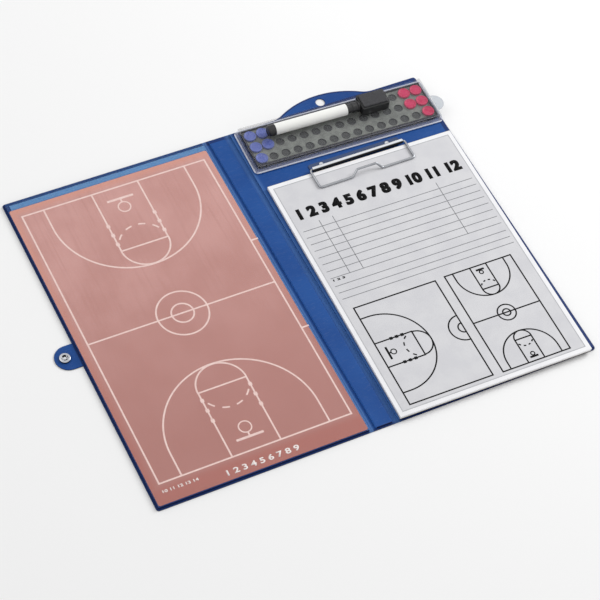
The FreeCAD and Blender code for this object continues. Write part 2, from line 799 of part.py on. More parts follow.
def case_lid():
    """The lid: a plate on the walls whose skirts hook under the slide beads."""
    piece = Piece("case_lid")
    bead = wall_y[1] + S.bead_out
    skirt_in = bead + S.fit_gap
    skirt_out = skirt_in + S.lid_skirt
    hook_in = wall_y[1] + S.fit_gap
    hook_top = wall_top - S.bead_thick - S.fit_gap
    hook_foot = hook_top - S.hook_thick
    right = [
        (skirt_out, case_top),
        (skirt_out, hook_foot),
        (hook_in, hook_foot),
        (hook_in, hook_top),
        (skirt_in, hook_top),
        (skirt_in, wall_top),
    ]
    left = [(-y, z) for y, z in reversed(right)]
    end = wall_x[1] + S.fit_gap
    piece.along_x(right + left, wall_x[0], end - wall_x[0] + S.lid_skirt)
    piece.block((end, end + S.lid_skirt), (-skirt_out, skirt_out), hook_foot, case_top - hook_foot)
    thumb_x = end + S.lid_skirt + S.thumb_reach - S.thumb_width / 2
    thumb_y = (-S.thumb_drop - S.thumb_width / 2, S.thumb_width / 2 - S.thumb_drop)
    piece.block((end, thumb_x), thumb_y, wall_top, S.lid_thick)
    piece.discs([(thumb_x, -S.thumb_drop)], S.thumb_width, wall_top, S.lid_thick)
    seat_case(piece)
    keep(piece)


# The marker, lying on the case with its eraser cap on.

cap_below = S.barrel / 2 + S.barrel_lift
axis_z = case_top + cap_below
tail = -S.marker_tail
barrel_x = tail + S.plug_length
sleeve_x = barrel_x + S.barrel_length
cap_x = sleeve_x + S.sleeve_length
neck_end = cap_x + S.neck_length
bore_radius = S.barrel / 2 - S.barrel_wall
spigot_radius = bore_radius - S.fit_gap


def turned_piece(label, profile):
    """A marker piece: places along the marker and the radius at each."""
    piece = Piece(label)
    piece.turned(profile, S.marker_side, axis_z)
    seat_case(piece)
    return piece


def marker_pieces():
    outside = S.barrel / 2
    keep(turned_piece("marker_barrel", [
        (barrel_x, bore_radius), (barrel_x, outside),
        (sleeve_x, outside), (sleeve_x, bore_radius),
    ]))
    plug = turned_piece("marker_tail_plug", [
        (tail, 0), (tail, outside - S.plug_round), (tail + S.plug_round, outside),
        (barrel_x, outside), (barrel_x, spigot_radius),
        (barrel_x + S.spigot, spigot_radius), (barrel_x + S.spigot, 0),
    ])
    keep(plug)
    keep(turned_piece("marker_ink_core", [
        (barrel_x + S.spigot, 0), (barrel_x + S.spigot, spigot_radius),
        (sleeve_x - S.spigot, spigot_radius), (sleeve_x - S.spigot, 0),
    ]))
    nib_hole = S.nib / 2 + S.fit_gap
    nib_foot = neck_end - S.nib_tail
    keep(turned_piece("marker_nib_holder", [
        (sleeve_x - S.spigot, 0), (sleeve_x - S.spigot, spigot_radius),
        (sleeve_x, spigot_radius), (sleeve_x, S.sleeve / 2),
        (cap_x, S.sleeve / 2), (cap_x, S.neck / 2), (neck_end, S.neck / 2),
        (neck_end, nib_hole), (nib_foot, nib_hole), (nib_foot, 0),
    ]))
    nib_end = neck_end + S.nib_length
    keep(turned_piece("marker_nib", [
        (nib_foot, 0), (nib_foot, S.nib / 2), (nib_end - S.nib_round, S.nib / 2),
        (nib_end, S.nib / 2 - S.nib_round), (nib_end, 0),
    ]))


def eraser_cap():
    cap = Piece("eraser_cap")
    cap_y = (S.marker_side - S.cap_width / 2, S.marker_side + S.cap_width / 2)
    high = axis_z + S.cap_above
    cap.block((cap_x, cap_x + S.cap_length), cap_y, case_top, high - case_top)
    cap.soften("Fillet", S.cap_round, lambda edge: not lies_at(high)(edge))
    bore = S.neck + S.fit_gap * 2
    bore_depth = S.neck_length + S.nib_length + S.nib_room
    cap.rod_along_x(S.marker_side, axis_z, bore, cap_x, bore_depth, kind="Pocket")
    seat_case(cap)
    keep(cap)
    felt = Piece("eraser_felt")
    felt_x = grow_from((cap_x, cap_x + S.cap_length), -S.felt_inset)
    felt.block(felt_x, grow_from(cap_y, -S.felt_inset), high, S.felt_thick)
    felt.soften("Fillet", S.felt_inset / 2, is_upright)
    seat_case(felt)
    keep(felt)


def check_document():
    """Stop if any feature failed or any finished piece is empty or broken."""
    doc.recompute()
    for thing in doc.Objects:
        if "Invalid" in thing.State or "Error" in thing.State:
            raise RuntimeError(f"{thing.Label} failed to build")
    for thing in finished:
        if thing.Shape.isNull() or not thing.Shape.isValid():
            raise RuntimeError(f"{thing.Label} has no sound shape")


def main():
    clip_outer_skin()
    clip_board()
    clip_inner_skin()
    spine_pieces()
    court_leaf_pieces()
    court_card()
    court_window()
    closing_strap()
    snap_cap()
    snap_socket()
    snap_stud()
    clip_plate()
    clip_rivets()
    bail_wire()
    note_pad()
    case_tape()
    case_tray()
    counter_rack()
    counters_and_magnets()
    case_lid()
    marker_pieces()
    eraser_cap()
    check_document()
    os.makedirs("parts", exist_ok=True)
    for thing in finished:
        thing.Shape.exportStep(f"parts/{thing.Label}.step")
        box = thing.Shape.BoundBox
        print(f"{thing.Label}: {len(thing.Shape.Solids)} solid, volume {thing.Shape.Volume:.1f},"
              f" x {box.XMin:.1f} to {box.XMax:.1f}, y {box.YMin:.1f} to {box.YMax:.1f},"
              f" z {box.ZMin:.2f} to {box.ZMax:.2f}")


main()
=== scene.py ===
# %% [markdown]
# # A folding tactics board
# The board is a folder of welded vinyl that lies open: a court under a clear window on the
# left leaf, a clipboard with a pad, a case of counters and a marker on the right.
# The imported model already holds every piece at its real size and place. This lesson gives the
# pieces their looks: soft edges, pressed creases, printed lines, clear plastic and metal.

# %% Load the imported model
import json
import math

import bmesh
import bpy
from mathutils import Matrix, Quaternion, Vector

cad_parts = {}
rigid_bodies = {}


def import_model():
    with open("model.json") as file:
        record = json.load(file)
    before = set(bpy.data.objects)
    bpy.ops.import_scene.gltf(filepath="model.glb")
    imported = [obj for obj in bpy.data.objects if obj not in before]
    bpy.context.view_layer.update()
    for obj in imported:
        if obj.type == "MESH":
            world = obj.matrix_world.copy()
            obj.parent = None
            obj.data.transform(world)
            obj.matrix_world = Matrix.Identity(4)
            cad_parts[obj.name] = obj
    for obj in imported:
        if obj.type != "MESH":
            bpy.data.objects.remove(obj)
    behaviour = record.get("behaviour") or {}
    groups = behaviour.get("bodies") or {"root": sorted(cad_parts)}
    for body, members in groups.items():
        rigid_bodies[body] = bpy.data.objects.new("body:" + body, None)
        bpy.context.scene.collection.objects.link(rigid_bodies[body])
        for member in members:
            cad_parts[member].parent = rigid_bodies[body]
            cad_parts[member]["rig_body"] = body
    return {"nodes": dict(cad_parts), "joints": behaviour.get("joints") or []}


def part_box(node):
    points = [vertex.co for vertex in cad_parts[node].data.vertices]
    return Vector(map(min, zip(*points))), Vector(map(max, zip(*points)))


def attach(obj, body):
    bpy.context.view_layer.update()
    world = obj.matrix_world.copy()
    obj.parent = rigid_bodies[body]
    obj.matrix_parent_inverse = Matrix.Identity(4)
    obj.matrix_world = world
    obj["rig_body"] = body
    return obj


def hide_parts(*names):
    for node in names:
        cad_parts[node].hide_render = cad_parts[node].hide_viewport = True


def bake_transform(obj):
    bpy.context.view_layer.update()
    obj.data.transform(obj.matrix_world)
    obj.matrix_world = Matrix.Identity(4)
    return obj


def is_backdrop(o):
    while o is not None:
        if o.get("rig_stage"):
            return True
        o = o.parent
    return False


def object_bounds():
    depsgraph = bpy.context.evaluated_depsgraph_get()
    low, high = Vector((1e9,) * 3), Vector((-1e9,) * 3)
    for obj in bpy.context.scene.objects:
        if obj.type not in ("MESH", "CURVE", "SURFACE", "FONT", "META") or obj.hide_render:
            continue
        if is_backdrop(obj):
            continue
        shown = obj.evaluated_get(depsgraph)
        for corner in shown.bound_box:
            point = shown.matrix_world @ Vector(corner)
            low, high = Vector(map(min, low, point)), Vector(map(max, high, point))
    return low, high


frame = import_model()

MM = 0.001
cad_low, cad_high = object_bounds()
print("packed box in mm", [round(side / MM, 1) for side in cad_high - cad_low])

# %% [markdown]
# ## The camera
# A product photograph of something flat is often taken with a long lens from high up, so that
# the sides run nearly parallel. Here the camera stands left of the board and in front of it,
# two metres off, and is rolled a little. Place, aim and roll were solved from the folder's corners.

# %% Camera
CAMERA_PLACE = Vector((-0.6888, -1.0513, 1.6680))
CAMERA_AIM = Vector((-0.0088, -0.0264, 0.0))
CAMERA_ROLL = math.radians(9.13)
CAMERA_LENS = 127.3

bpy.ops.object.camera_add(location=CAMERA_PLACE)
camera = bpy.context.object
camera.data.lens = CAMERA_LENS
camera.rotation_mode = "QUATERNION"
looking = (CAMERA_AIM - CAMERA_PLACE).to_track_quat("-Z", "Y")
camera.rotation_quaternion = looking @ Quaternion((0, 0, 1), CAMERA_ROLL)
bpy.context.scene.camera = camera
print("camera to aim in m", round((CAMERA_AIM - CAMERA_PLACE).length, 3))

# %% [markdown]
# ## Node helpers
# Every finish below is a small graph of shader nodes. One helper adds a node, sets its options
# and fills its sockets with values or wires, so that a graph reads from top to bottom.
# Colours are written as they look on screen, 0 to 255, and turned into linear light.

# %% Helpers for shader graphs
MIX_SHARE, MIX_FIRST, MIX_SECOND, MIX_RESULT = 0, 6, 7, 2


def paint(red, green, blue):
    """A screen colour as the linear values that a shader works in."""
    def linear(level):
        share = level / 255
        return share / 12.92 if share <= 0.04045 else ((share + 0.055) / 1.055) ** 2.4
    return (linear(red), linear(green), linear(blue), 1.0)


class Graph:
    """A tree of shader nodes, with short ways to add to it."""

    def __init__(self, tree):
        self.tree = tree

    def wire(self, source, socket):
        self.tree.links.new(source, socket)

    def add(self, kind, wires=None, **options):
        """Add one node, give each named socket a value or a wire, and return its outputs."""
        node = self.tree.nodes.new("ShaderNode" + kind)
        for option, value in options.items():
            setattr(node, option, value)
        for socket, value in (wires or {}).items():
            if isinstance(value, bpy.types.NodeSocket):
                self.wire(value, node.inputs[socket])
            else:
                node.inputs[socket].default_value = value
        return node.outputs

    def math(self, operation, *values):
        """One step of arithmetic on values or wires."""
        return self.add("Math", dict(enumerate(values)), operation=operation)[0]

    def times(self, first, second):
        return self.math("MULTIPLY", first, second)

    def rest_of(self, share):
        return self.math("SUBTRACT", 1.0, share)

    def apart(self, wire, middle):
        """How far a wire's value lies from another, either way."""
        return self.math("ABSOLUTE", self.math("SUBTRACT", wire, middle))

    def mix(self, share, first, second):
        wires = {MIX_SHARE: share, MIX_FIRST: first, MIX_SECOND: second}
        return self.add("Mix", wires, data_type="RGBA")[MIX_RESULT]

    def stretch(self, value, low, high, out_low=0.0, out_high=1.0):
        """Map a wire from one range to another, smoothly at both ends."""
        wires = {"Value": value, "From Min": low, "From Max": high}
        wires.update({"To Min": out_low, "To Max": out_high})
        return self.add("MapRange", wires, interpolation_type="SMOOTHSTEP")[0]

    def noise(self, place, scale=1.0, detail=2.0, squeeze=None, turn=0.0):
        """A noise, in a space that can be turned and squeezed first."""
        if squeeze:
            mapping = {"Vector": place, "Rotation": (0, 0, turn), "Scale": squeeze}
            place = self.add("Mapping", mapping)[0]
        return self.add("TexNoise", {"Vector": place, "Scale": scale, "Detail": detail})[0]


print("node helpers ready")

# %% [markdown]
# ## Studio
# The photograph has a pale ground and almost no shadow, which is the look of a light tent.
# An even white surround does most of the lighting. One large lamp on the right draws soft
# shadows to the left, and a weaker one behind on the left fills them. Both stand clear of the
# place where the flat sheets would mirror them into the camera.

# %% Studio surround, floor and lamps
SURROUND = 0.66
GROUND = paint(246, 246, 246)
FLOOR_SIZE, FLOOR_DROP = 8.0, 0.05 * MM
FLOOR_LOOK = {"Base Color": GROUND, "Roughness": 0.9, "Specular IOR Level": 0.1}
LAMPS = (
    ("key_lamp", (2.0, 0.4, 1.5), 1.3, 36.0),
    ("fill_lamp", (-1.4, 0.9, 2.1), 1.8, 10.0),
)

scene = bpy.context.scene
scene.view_settings.view_transform = "Standard"
world = bpy.data.worlds.new("light_tent")
scene.world = world
world.use_nodes = True
tent = Graph(world.node_tree)
tent.tree.nodes.clear()
ray = tent.add("LightPath")
seen = tent.math("MAXIMUM", ray["Is Camera Ray"], ray["Is Glossy Ray"])
seen = tent.math("MAXIMUM", seen, ray["Is Transmission Ray"])
strength = tent.math("MULTIPLY_ADD", seen, 1.0 - SURROUND, SURROUND)
glow = tent.add("Background", {"Color": GROUND, "Strength": strength})[0]
tent.add("OutputWorld", {"Surface": glow})

for name, place, size, power in LAMPS:
    bpy.ops.object.light_add(type="AREA", location=place)
    lamp = bpy.context.object
    lamp.name = name
    lamp.data.size = size
    lamp.data.energy = power
    lamp.rotation_euler = (-Vector(place)).to_track_quat("-Z", "Y").to_euler()

bpy.ops.mesh.primitive_plane_add(size=FLOOR_SIZE, location=(0, 0, cad_low.z - FLOOR_DROP))
floor = bpy.context.object
floor.name = "studio_floor"
floor_material = bpy.data.materials.new("studio_paper")
floor_material.use_nodes = True
for socket, value in FLOOR_LOOK.items():
    floor_material.node_tree.nodes["Principled BSDF"].inputs[socket].default_value = value
floor.data.materials.append(floor_material)
floor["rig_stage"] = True
print("lamps", [row[0] for row in LAMPS])

# %% [markdown]
# ## Two effects that many finishes share
# Nearly every surface has a fine grain, which catches light, and a slow mottling, which keeps
# a large flat area from looking printed. Handled things also pick up hair-thin scuffs.
# Each effect is one node group, placed in a material with its own scale.

# %% Shared groups: grain with mottling, and scuffs
GRAIN_DETAIL, MOTTLE_DETAIL, SCUFF_DETAIL = 3.0, 4.0, 1.0
MOTTLE_RANGE = (0.32, 0.68)
SCUFF_RANGE = (0.66, 0.74)
SCUFF_WAYS = (0.35, -0.9)
SCUFF_THIN = (1.0, 26.0, 1.0)


def new_group(name, inputs, outputs):
    """An empty node group with a vector input, some value inputs and value outputs."""
    tree = bpy.data.node_groups.new(name, "ShaderNodeTree")
    tree.interface.new_socket("Place", in_out="INPUT", socket_type="NodeSocketVector")
    for way, sockets in (("INPUT", inputs), ("OUTPUT", outputs)):
        for socket in sockets:
            tree.interface.new_socket(socket, in_out=way, socket_type="NodeSocketFloat")
    entry, leave = tree.nodes.new("NodeGroupInput"), tree.nodes.new("NodeGroupOutput")
    return Graph(tree), entry.outputs, leave.inputs


grains, entry, leave = new_group(
    "surface_grain", ("Grain scale", "Mottle scale"), ("Grain", "Mottle"))
slow = grains.noise(entry["Place"], entry["Mottle scale"], MOTTLE_DETAIL)
fine = grains.noise(entry["Place"], entry["Grain scale"], GRAIN_DETAIL)
grains.wire(fine, leave["Grain"])
grains.wire(grains.stretch(slow, *MOTTLE_RANGE), leave["Mottle"])

scuffs, entry, leave = new_group("fine_scuffs", ("Scuff scale",), ("Scuff",))
marks = []
for way in SCUFF_WAYS:
    streak = scuffs.noise(entry["Place"], entry["Scuff scale"], SCUFF_DETAIL, SCUFF_THIN, way)
    marks.append(scuffs.stretch(streak, *SCUFF_RANGE))
scuffs.wire(scuffs.math("MAXIMUM", *marks), leave["Scuff"])
print("groups", grains.tree.name, scuffs.tree.name)

# %% [markdown]
# ## One recipe for a finish
# A finish starts as a Principled shader whose colour drifts between two close tones, whose
# roughness follows the same drift, and whose grain is a bump a few hundredths of a millimetre
# deep. Special surfaces then add a mask, a second bump or a see-through share to the recipe.

# %% The finish recipe
FINISHES = {}
SCUFF_LENGTH, SCUFF_TONE, SCUFF_DULL = 9 * MM, paint(225, 228, 232), 0.3


class Finish(Graph):
    """A material from two tones, a roughness, and a grain size and depth in millimetres."""

    def __init__(self, name, tone, second, rough, grain, depth,
                 spread=0.06, mottle=25.0, scuff=0.0, **sockets):
        self.material = bpy.data.materials.new(name)
        self.material.use_nodes = True
        super().__init__(self.material.node_tree)
        self.inputs = self.tree.nodes["Principled BSDF"].inputs
        coordinates = self.add("TexCoord")
        self.spot, self.facing, self.normal = coordinates["Object"], coordinates["Normal"], None
        scales = {"Grain scale": 1 / (grain * MM), "Mottle scale": 1 / (mottle * MM)}
        surface = self.add("Group", {"Place": self.spot, **scales}, node_tree=grains.tree)
        self.colour = self.mix(surface["Mottle"], paint(*tone), paint(*second))
        roughness = self.stretch(surface["Mottle"], 0.0, 1.0, rough - spread, rough + spread)
        if scuff:
            wires = {"Place": self.spot, "Scuff scale": 1 / SCUFF_LENGTH}
            worn = self.times(self.add("Group", wires, node_tree=scuffs.tree)["Scuff"], scuff)
            self.colour = self.mix(worn, self.colour, SCUFF_TONE)
            roughness = self.math("MULTIPLY_ADD", worn, SCUFF_DULL, roughness)
        self.wire(self.colour, self.inputs["Base Color"])
        self.wire(roughness, self.inputs["Roughness"])
        self.emboss(surface["Grain"], depth)
        for socket, value in sockets.items():
            self.inputs[socket.replace("_", " ")].default_value = value
        FINISHES[name] = self

    def emboss(self, height, depth):
        """Add a bump of a given depth in millimetres."""
        wires = {"Height": height, "Strength": 1.0, "Distance": depth * MM}
        if self.normal is not None:
            wires["Normal"] = self.normal
        self.normal = self.add("Bump", wires)[0]
        self.wire(self.normal, self.inputs["Normal"])

    def repaint(self, mask, tone, share=None):
        """Lay a screen colour or a wire over the finish, by a mask or a share of it."""
        mask = mask if share is None else self.times(mask, share)
        tone = tone if isinstance(tone, bpy.types.NodeSocket) else paint(*tone)
        self.colour = self.mix(mask, self.colour, tone)
        self.wire(self.colour, self.inputs["Base Color"])


print("finish recipe ready")

# %% [markdown]
# ## Finding places on a surface
# A mask is a wire that is 1 where something is to be done and 0 elsewhere. These helpers measure
# where a spot lies or which way its face looks, in the part's own axes, so that a mask stays on
# its piece when the piece moves.

# %% Helpers for masks
X, Y, Z = 0, 1, 2
UPRIGHT_RANGE = (0.7, 0.3)


def axis(made, number):
    """A spot's place along one axis."""
    return made.add("SeparateXYZ", {0: made.spot})[number]


def faces(made, number):
    """How squarely a face looks along one axis, either way."""
    return made.math("ABSOLUTE", made.add("SeparateXYZ", {0: made.facing})[number])


def upright(made):
    """1 on faces that stand upright on the page, 0 on level ones."""
    return made.stretch(faces(made, Z), *UPRIGHT_RANGE)


def measured(made, operation, other):
    """A spot's distance from a place, or how far it lies along a direction."""
    return made.add("VectorMath", {0: made.spot, 1: other}, operation=operation)["Value"]


def outside_of(made, low, high):
    """How far a spot lies outside a rectangle in the page, in metres; below 0 inside it."""
    gaps = []
    for number in (X, Y):
        middle, half = (low[number] + high[number]) / 2, (high[number] - low[number]) / 2
        gaps.append(made.math("SUBTRACT", made.apart(axis(made, number), middle), half))
    return made.math("MAXIMUM", *gaps)


print("mask helpers ready")

# %% [markdown]
# ## Blue vinyl
# The folder is soft vinyl sheet with a leathery emboss, welded by heat along every edge and
# crease. The weld tool leaves a band of fine slanting ribs, and the band is a little darker.
# The band is found from the page itself: everything outside the three raised panels.

# %% Blue vinyl
LEATHER_CELL, RIB_PITCH = 0.8 * MM, 0.9 * MM
EMBOSS_DEPTH = 0.05
PANELS = ("clip_board", "spine_board", "court_board")
PANEL_MARGIN, WELD_FADE = 0.6 * MM, 1.6

vinyl = Finish("blue_vinyl", (22, 70, 138), (28, 79, 149), 0.46, 0.5, 0.03,
               spread=0.02, mottle=60, scuff=0.05, Specular_IOR_Level=0.2)
cells = vinyl.add("TexVoronoi", {"Vector": vinyl.spot, "Scale": 1 / LEATHER_CELL})
vinyl.emboss(cells["Distance"], EMBOSS_DEPTH)
margin, *others = [outside_of(vinyl, *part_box(panel)) for panel in PANELS]
for other in others:
    margin = vinyl.math("MINIMUM", margin, other)
weld = vinyl.stretch(margin, PANEL_MARGIN, WELD_FADE * PANEL_MARGIN)
slant = vinyl.math("ADD", axis(vinyl, X), axis(vinyl, Y))
ribs = vinyl.math("SINE", vinyl.times(slant, 2 * math.pi / RIB_PITCH))
vinyl.emboss(vinyl.times(ribs, weld), EMBOSS_DEPTH)
vinyl.repaint(weld, (26, 60, 130), share=0.12)
print("vinyl weld band found outside", len(PANELS), "panels")

# %% [markdown]
# The outer weld is painted dark, as painted shade, in a band that is wide but for the foot of the
# spine. The cut edges, which stand upright, are painted dark as shade, but the walls of the two
# grooves beside the spine get a pale painted highlight. Both folds get a painted highlight too,
# the one beside the court more so.

# %% Dark rims and pale folds of the vinyl
SPINE_REACH, SPINE_FADE = 18 * MM, 1.3
EDGE_SOFT = 0.4 * MM
FOOT_WELD, WIDE_WELD = 2.4 * MM, 5.9 * MM
WELD_SHADE_TONE, WELD_SHADE_SHARE = (8, 26, 80), 0.7
EDGE_SHADE_TONE, GROOVE_HIGHLIGHT_TONE, FOLD_HIGHLIGHT_TONE = paint(8, 18, 60), paint(66, 124, 202), (104, 148, 206)
WALL_RANGE = (0.3, 0.6)
FOLD_HIGHLIGHTS = ((0, 0.5, 3.4 * MM), (1, 0.28, 6.5 * MM))  # side of the spine, share and reach
FOLD_CORE = 0.25
spine_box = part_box("spine_outer_skin")
crease, head, skin = spine_box[1]
leaf_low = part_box("court_outer_skin")[0].xy
leaf_high = Vector((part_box("clip_outer_skin")[1].x, head))


def off_spine(made):
    """0 over the spine, 1 over the leaves."""
    across = made.math("ABSOLUTE", axis(made, X))
    return made.stretch(across, SPINE_REACH, SPINE_FADE * SPINE_REACH)


def weld_rim_shade(made):
    """1 in the folder's welded rim, where shade is painted; 0 inside it and beyond its edge."""
    gap = outside_of(made, leaf_low, leaf_high)
    within = made.stretch(gap, EDGE_SOFT, 0.0)
    headward = made.stretch(axis(made, Y), 0.0, head)
    wide = made.math("MAXIMUM", off_spine(made), headward)
    reach = made.math("MULTIPLY_ADD", wide, WIDE_WELD - FOOT_WELD, gap)
    return made.times(within, made.stretch(reach, -FOOT_WELD, EDGE_SOFT - FOOT_WELD))


# painted shade: the welded rim is painted dark
vinyl.repaint(weld_rim_shade(vinyl), WELD_SHADE_TONE, WELD_SHADE_SHARE)
# painted shade on the upright edges, and a painted highlight on the groove walls by the spine
on_spine = vinyl.rest_of(off_spine(vinyl))
groove_highlight = vinyl.times(vinyl.stretch(faces(vinyl, X), *WALL_RANGE), on_spine)
vinyl.repaint(upright(vinyl), vinyl.mix(groove_highlight, EDGE_SHADE_TONE, GROOVE_HIGHLIGHT_TONE))
# painted highlight along both folds
for side, share, reach in FOLD_HIGHLIGHTS:
    from_fold = vinyl.apart(axis(vinyl, X), spine_box[side].x)
    vinyl.repaint(vinyl.stretch(from_fold, reach, FOLD_CORE * reach), FOLD_HIGHLIGHT_TONE, share)
print("pale folds", len(FOLD_HIGHLIGHTS))

# %% [markdown]
# The hanging tab's welded rim gets a thin band of painted shade. Its outline is one arc that
# rises from the head and runs out into a hollow arc at either end, so distances from the three
# centres find the rim.

# %% Painted shade on the welded rim of the hanging tab
TAB_CHORD, TAB_HOLLOW, TAB_SHADE_WIDTH = 104 * MM, 24 * MM, 2.0 * MM
tab_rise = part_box("clip_outer_skin")[1].y - head
tab_radius = (TAB_CHORD ** 2 / 4 + tab_rise ** 2) / (2 * tab_rise)
tab_middle = Vector(((crease + leaf_high.x) / 2, head + tab_rise - tab_radius, 0))
hollow_run = math.sqrt((tab_radius + TAB_HOLLOW) ** 2 - (head + TAB_HOLLOW - tab_middle.y) ** 2)

crest, brink = tab_radius - TAB_SHADE_WIDTH, TAB_HOLLOW + TAB_SHADE_WIDTH
tab_rim_band = vinyl.stretch(measured(vinyl, "DISTANCE", tab_middle), crest, crest + EDGE_SOFT)
for side in (-1, 1):
    centre = Vector((tab_middle.x + side * hollow_run, head + TAB_HOLLOW, 0))
    near = vinyl.stretch(measured(vinyl, "DISTANCE", centre), brink, brink - EDGE_SOFT)
    tab_rim_band = vinyl.math("MAXIMUM", tab_rim_band, near)
# painted shade along the tab's rim
tab_rim_shade = vinyl.times(tab_rim_band, vinyl.stretch(axis(vinyl, Y), head, head + EDGE_SOFT))
vinyl.repaint(tab_rim_shade, WELD_SHADE_TONE, WELD_SHADE_SHARE)
print("tab radius in mm", round(tab_radius / MM, 1))

# %% [markdown]
# ## Moulded plastics, inks and boards
# These need no special mask, only the right tones, gloss and grain, so a table holds them.
# Moulded plastic is smooth with a fine spark-eroded texture, ink is dull, and felt, foam and
# board have fibres or cells.

# %% Plain finishes
PLAIN = (  # name, two tones, roughness, grain and its depth in mm, other values
    ("grey_board", (128, 124, 118), (112, 108, 102), 0.9, 0.4, 0.06, {}),
    ("magnet_dark", (52, 52, 56), (66, 66, 70), 0.55, 0.2, 0.02, {}),
    ("counter_blue", (76, 92, 168), (88, 104, 178), 0.32, 0.25, 0.01,
     {"mottle": 6, "scuff": 0.05}),
    ("counter_red", (188, 12, 76), (198, 24, 86), 0.32, 0.25, 0.01,
     {"mottle": 6, "scuff": 0.05, "Specular_IOR_Level": 0.3}),
    ("marker_white", (244, 244, 240), (238, 238, 235), 0.26, 0.6, 0.006,
     {"scuff": 0.03, "Coat_Weight": 0.2}),
    ("marker_black", (16, 16, 18), (24, 24, 26), 0.38, 0.25, 0.015, {"scuff": 0.05}),
    ("ink_fibre", (40, 42, 60), (54, 56, 74), 0.85, 0.3, 0.05, {}),
    ("eraser_felt", (42, 42, 45), (58, 58, 62), 0.97, 0.35, 0.25,
     {"mottle": 2.5, "Sheen_Weight": 0.3}),
    ("foam_tape", (228, 228, 224), (214, 214, 210), 0.85, 0.35, 0.12, {"mottle": 3}),
    ("binding_gum", (226, 222, 208), (214, 208, 192), 0.4, 0.8, 0.05, {"mottle": 8}),
    ("pad_card", (168, 158, 142), (154, 144, 128), 0.88, 0.3, 0.04, {"mottle": 4}),
    ("printed_black", (10, 10, 11), (18, 18, 20), 0.7, 0.3, 0.004,
     {"mottle": 3, "Specular_IOR_Level": 0.1}),
    ("printed_rule", (112, 113, 117), (128, 129, 133), 0.7, 0.3, 0.004, {"mottle": 3}),
    ("printed_grey", (176, 177, 181), (186, 187, 190), 0.7, 0.3, 0.004, {"mottle": 3}),
    ("printed_tint", (211, 211, 214), (206, 206, 210), 0.8, 0.12, 0.01, {"mottle": 18}),
    ("printed_line", (246, 217, 208), (240, 207, 198), 0.6, 0.3, 0.004,
     {"mottle": 5, "Specular_IOR_Level": 0.12}),
    ("printed_white", (252, 242, 236), (246, 234, 228), 0.6, 0.3, 0.004, {"mottle": 5}),
)
for *row, others in PLAIN:
    Finish(*row, **others)
print("plain finishes", len(PLAIN))

# %% [markdown]
# ## Plated metals
# Bright metal is plated steel. Drawing the wire and rolling the plate leave marks that run one
# way, so its bump is a noise squeezed across the work, here along the clip. The clip's flange is
# painted darker as the shadow behind the clip, and the front of its roll is painted near black as
# a dark reflection and shade. The snap is darker inside its rim.

# %% Bright plated metal and the steel sheet
DRAWN, DRAWN_DEPTH = (60.0, 4000.0, 4000.0), 0.004
ROLL_SHADE = (1.5 * MM, 0.6 * MM)
CLIP_FLANGE, STEP_SOFT = 1.6 * MM, 0.2 * MM
RIM_DROP = (0.35 * MM, 0.7 * MM)


def plated(name, tone, second, rough):
    made = Finish(name, tone, second, rough, grain=0.8, depth=0.003,
                  spread=0.04, mottle=12, scuff=0.04, Metallic=1.0)
    made.emboss(made.noise(made.spot, squeeze=DRAWN), DRAWN_DEPTH)
    return made


plated("bright_metal", (226, 228, 232), (214, 217, 222), 0.17)
plated("steel_sheet", (176, 178, 182), (160, 163, 168), 0.34)
plated("drawn_wire", (172, 174, 178), (152, 154, 159), 0.28)

clip_metal = plated("clip_metal", (236, 238, 241), (226, 229, 233), 0.2)
clip_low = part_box("clip_plate")[0]
roll_front = [clip_low.y + back for back in ROLL_SHADE]
# painted reflection and shade: the front of the roll is painted near black
clip_metal.repaint(clip_metal.stretch(axis(clip_metal, Y), *roll_front), (34, 35, 38))
flange_top = clip_low.z + CLIP_FLANGE
# painted shadow: the flange behind the roll is painted a dark blue-grey
flange_shadow = clip_metal.stretch(axis(clip_metal, Z), flange_top, flange_top - STEP_SOFT)
clip_metal.repaint(flange_shadow, (78, 92, 124))

snap_metal = plated("snap_metal", (206, 208, 213), (186, 189, 195), 0.22)
socket_low, socket_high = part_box("snap_socket")
rim_ends = [socket_high.z - drop for drop in RIM_DROP]
snap_metal.repaint(snap_metal.stretch(axis(snap_metal, Z), *rim_ends), (44, 45, 50))
print("metals", [name for name in FINISHES if "metal" in name])

# %% [markdown]
# ## Paper and its cut edges
# Seen from above the pad is plain white paper. Seen from the side it is hundreds of sheet
# edges, so the stack darkens in thin bands that follow height. A noise squeezed flat gives
# bands of uneven weight, as a trimmed stack has.

# %% Paper
SHEET_EDGE = 0.1 * MM
FLAT_BANDS = (40.0, 40.0, 1 / SHEET_EDGE)
BAND_RANGE = (0.52, 0.62)
paper = Finish("paper", (241, 241, 243), (236, 236, 239), 0.82, 0.12, 0.01,
               mottle=18, spread=0.04)
bands = paper.noise(paper.spot, detail=1.0, squeeze=FLAT_BANDS)
on_side = upright(paper)
shadow_line = paper.times(paper.stretch(bands, *BAND_RANGE), on_side)
paper.repaint(shadow_line, (150, 152, 158), share=0.55)
paper.emboss(paper.times(bands, on_side), EMBOSS_DEPTH)
print("paper bands every", SHEET_EDGE / MM, "mm")

# %% [markdown]
# ## Court card
# The card is printed in one brown-pink with a faint boarded grain along the court. Its tone
# grows darker towards the foot, and the margin outside the lines is warmer. Squeezing a noise
# along Y gives the boards' grain.

# %% Court card
COURT_LOW = Vector((-221.25, -165.5)) * MM
COURT_HIGH = Vector((-23.45, 167.2)) * MM
MARGIN_FADE = 9 * MM
BOARD_GRAIN = (420.0, 14.0, 1.0)
BOARD_RANGE = (0.45, 0.75)

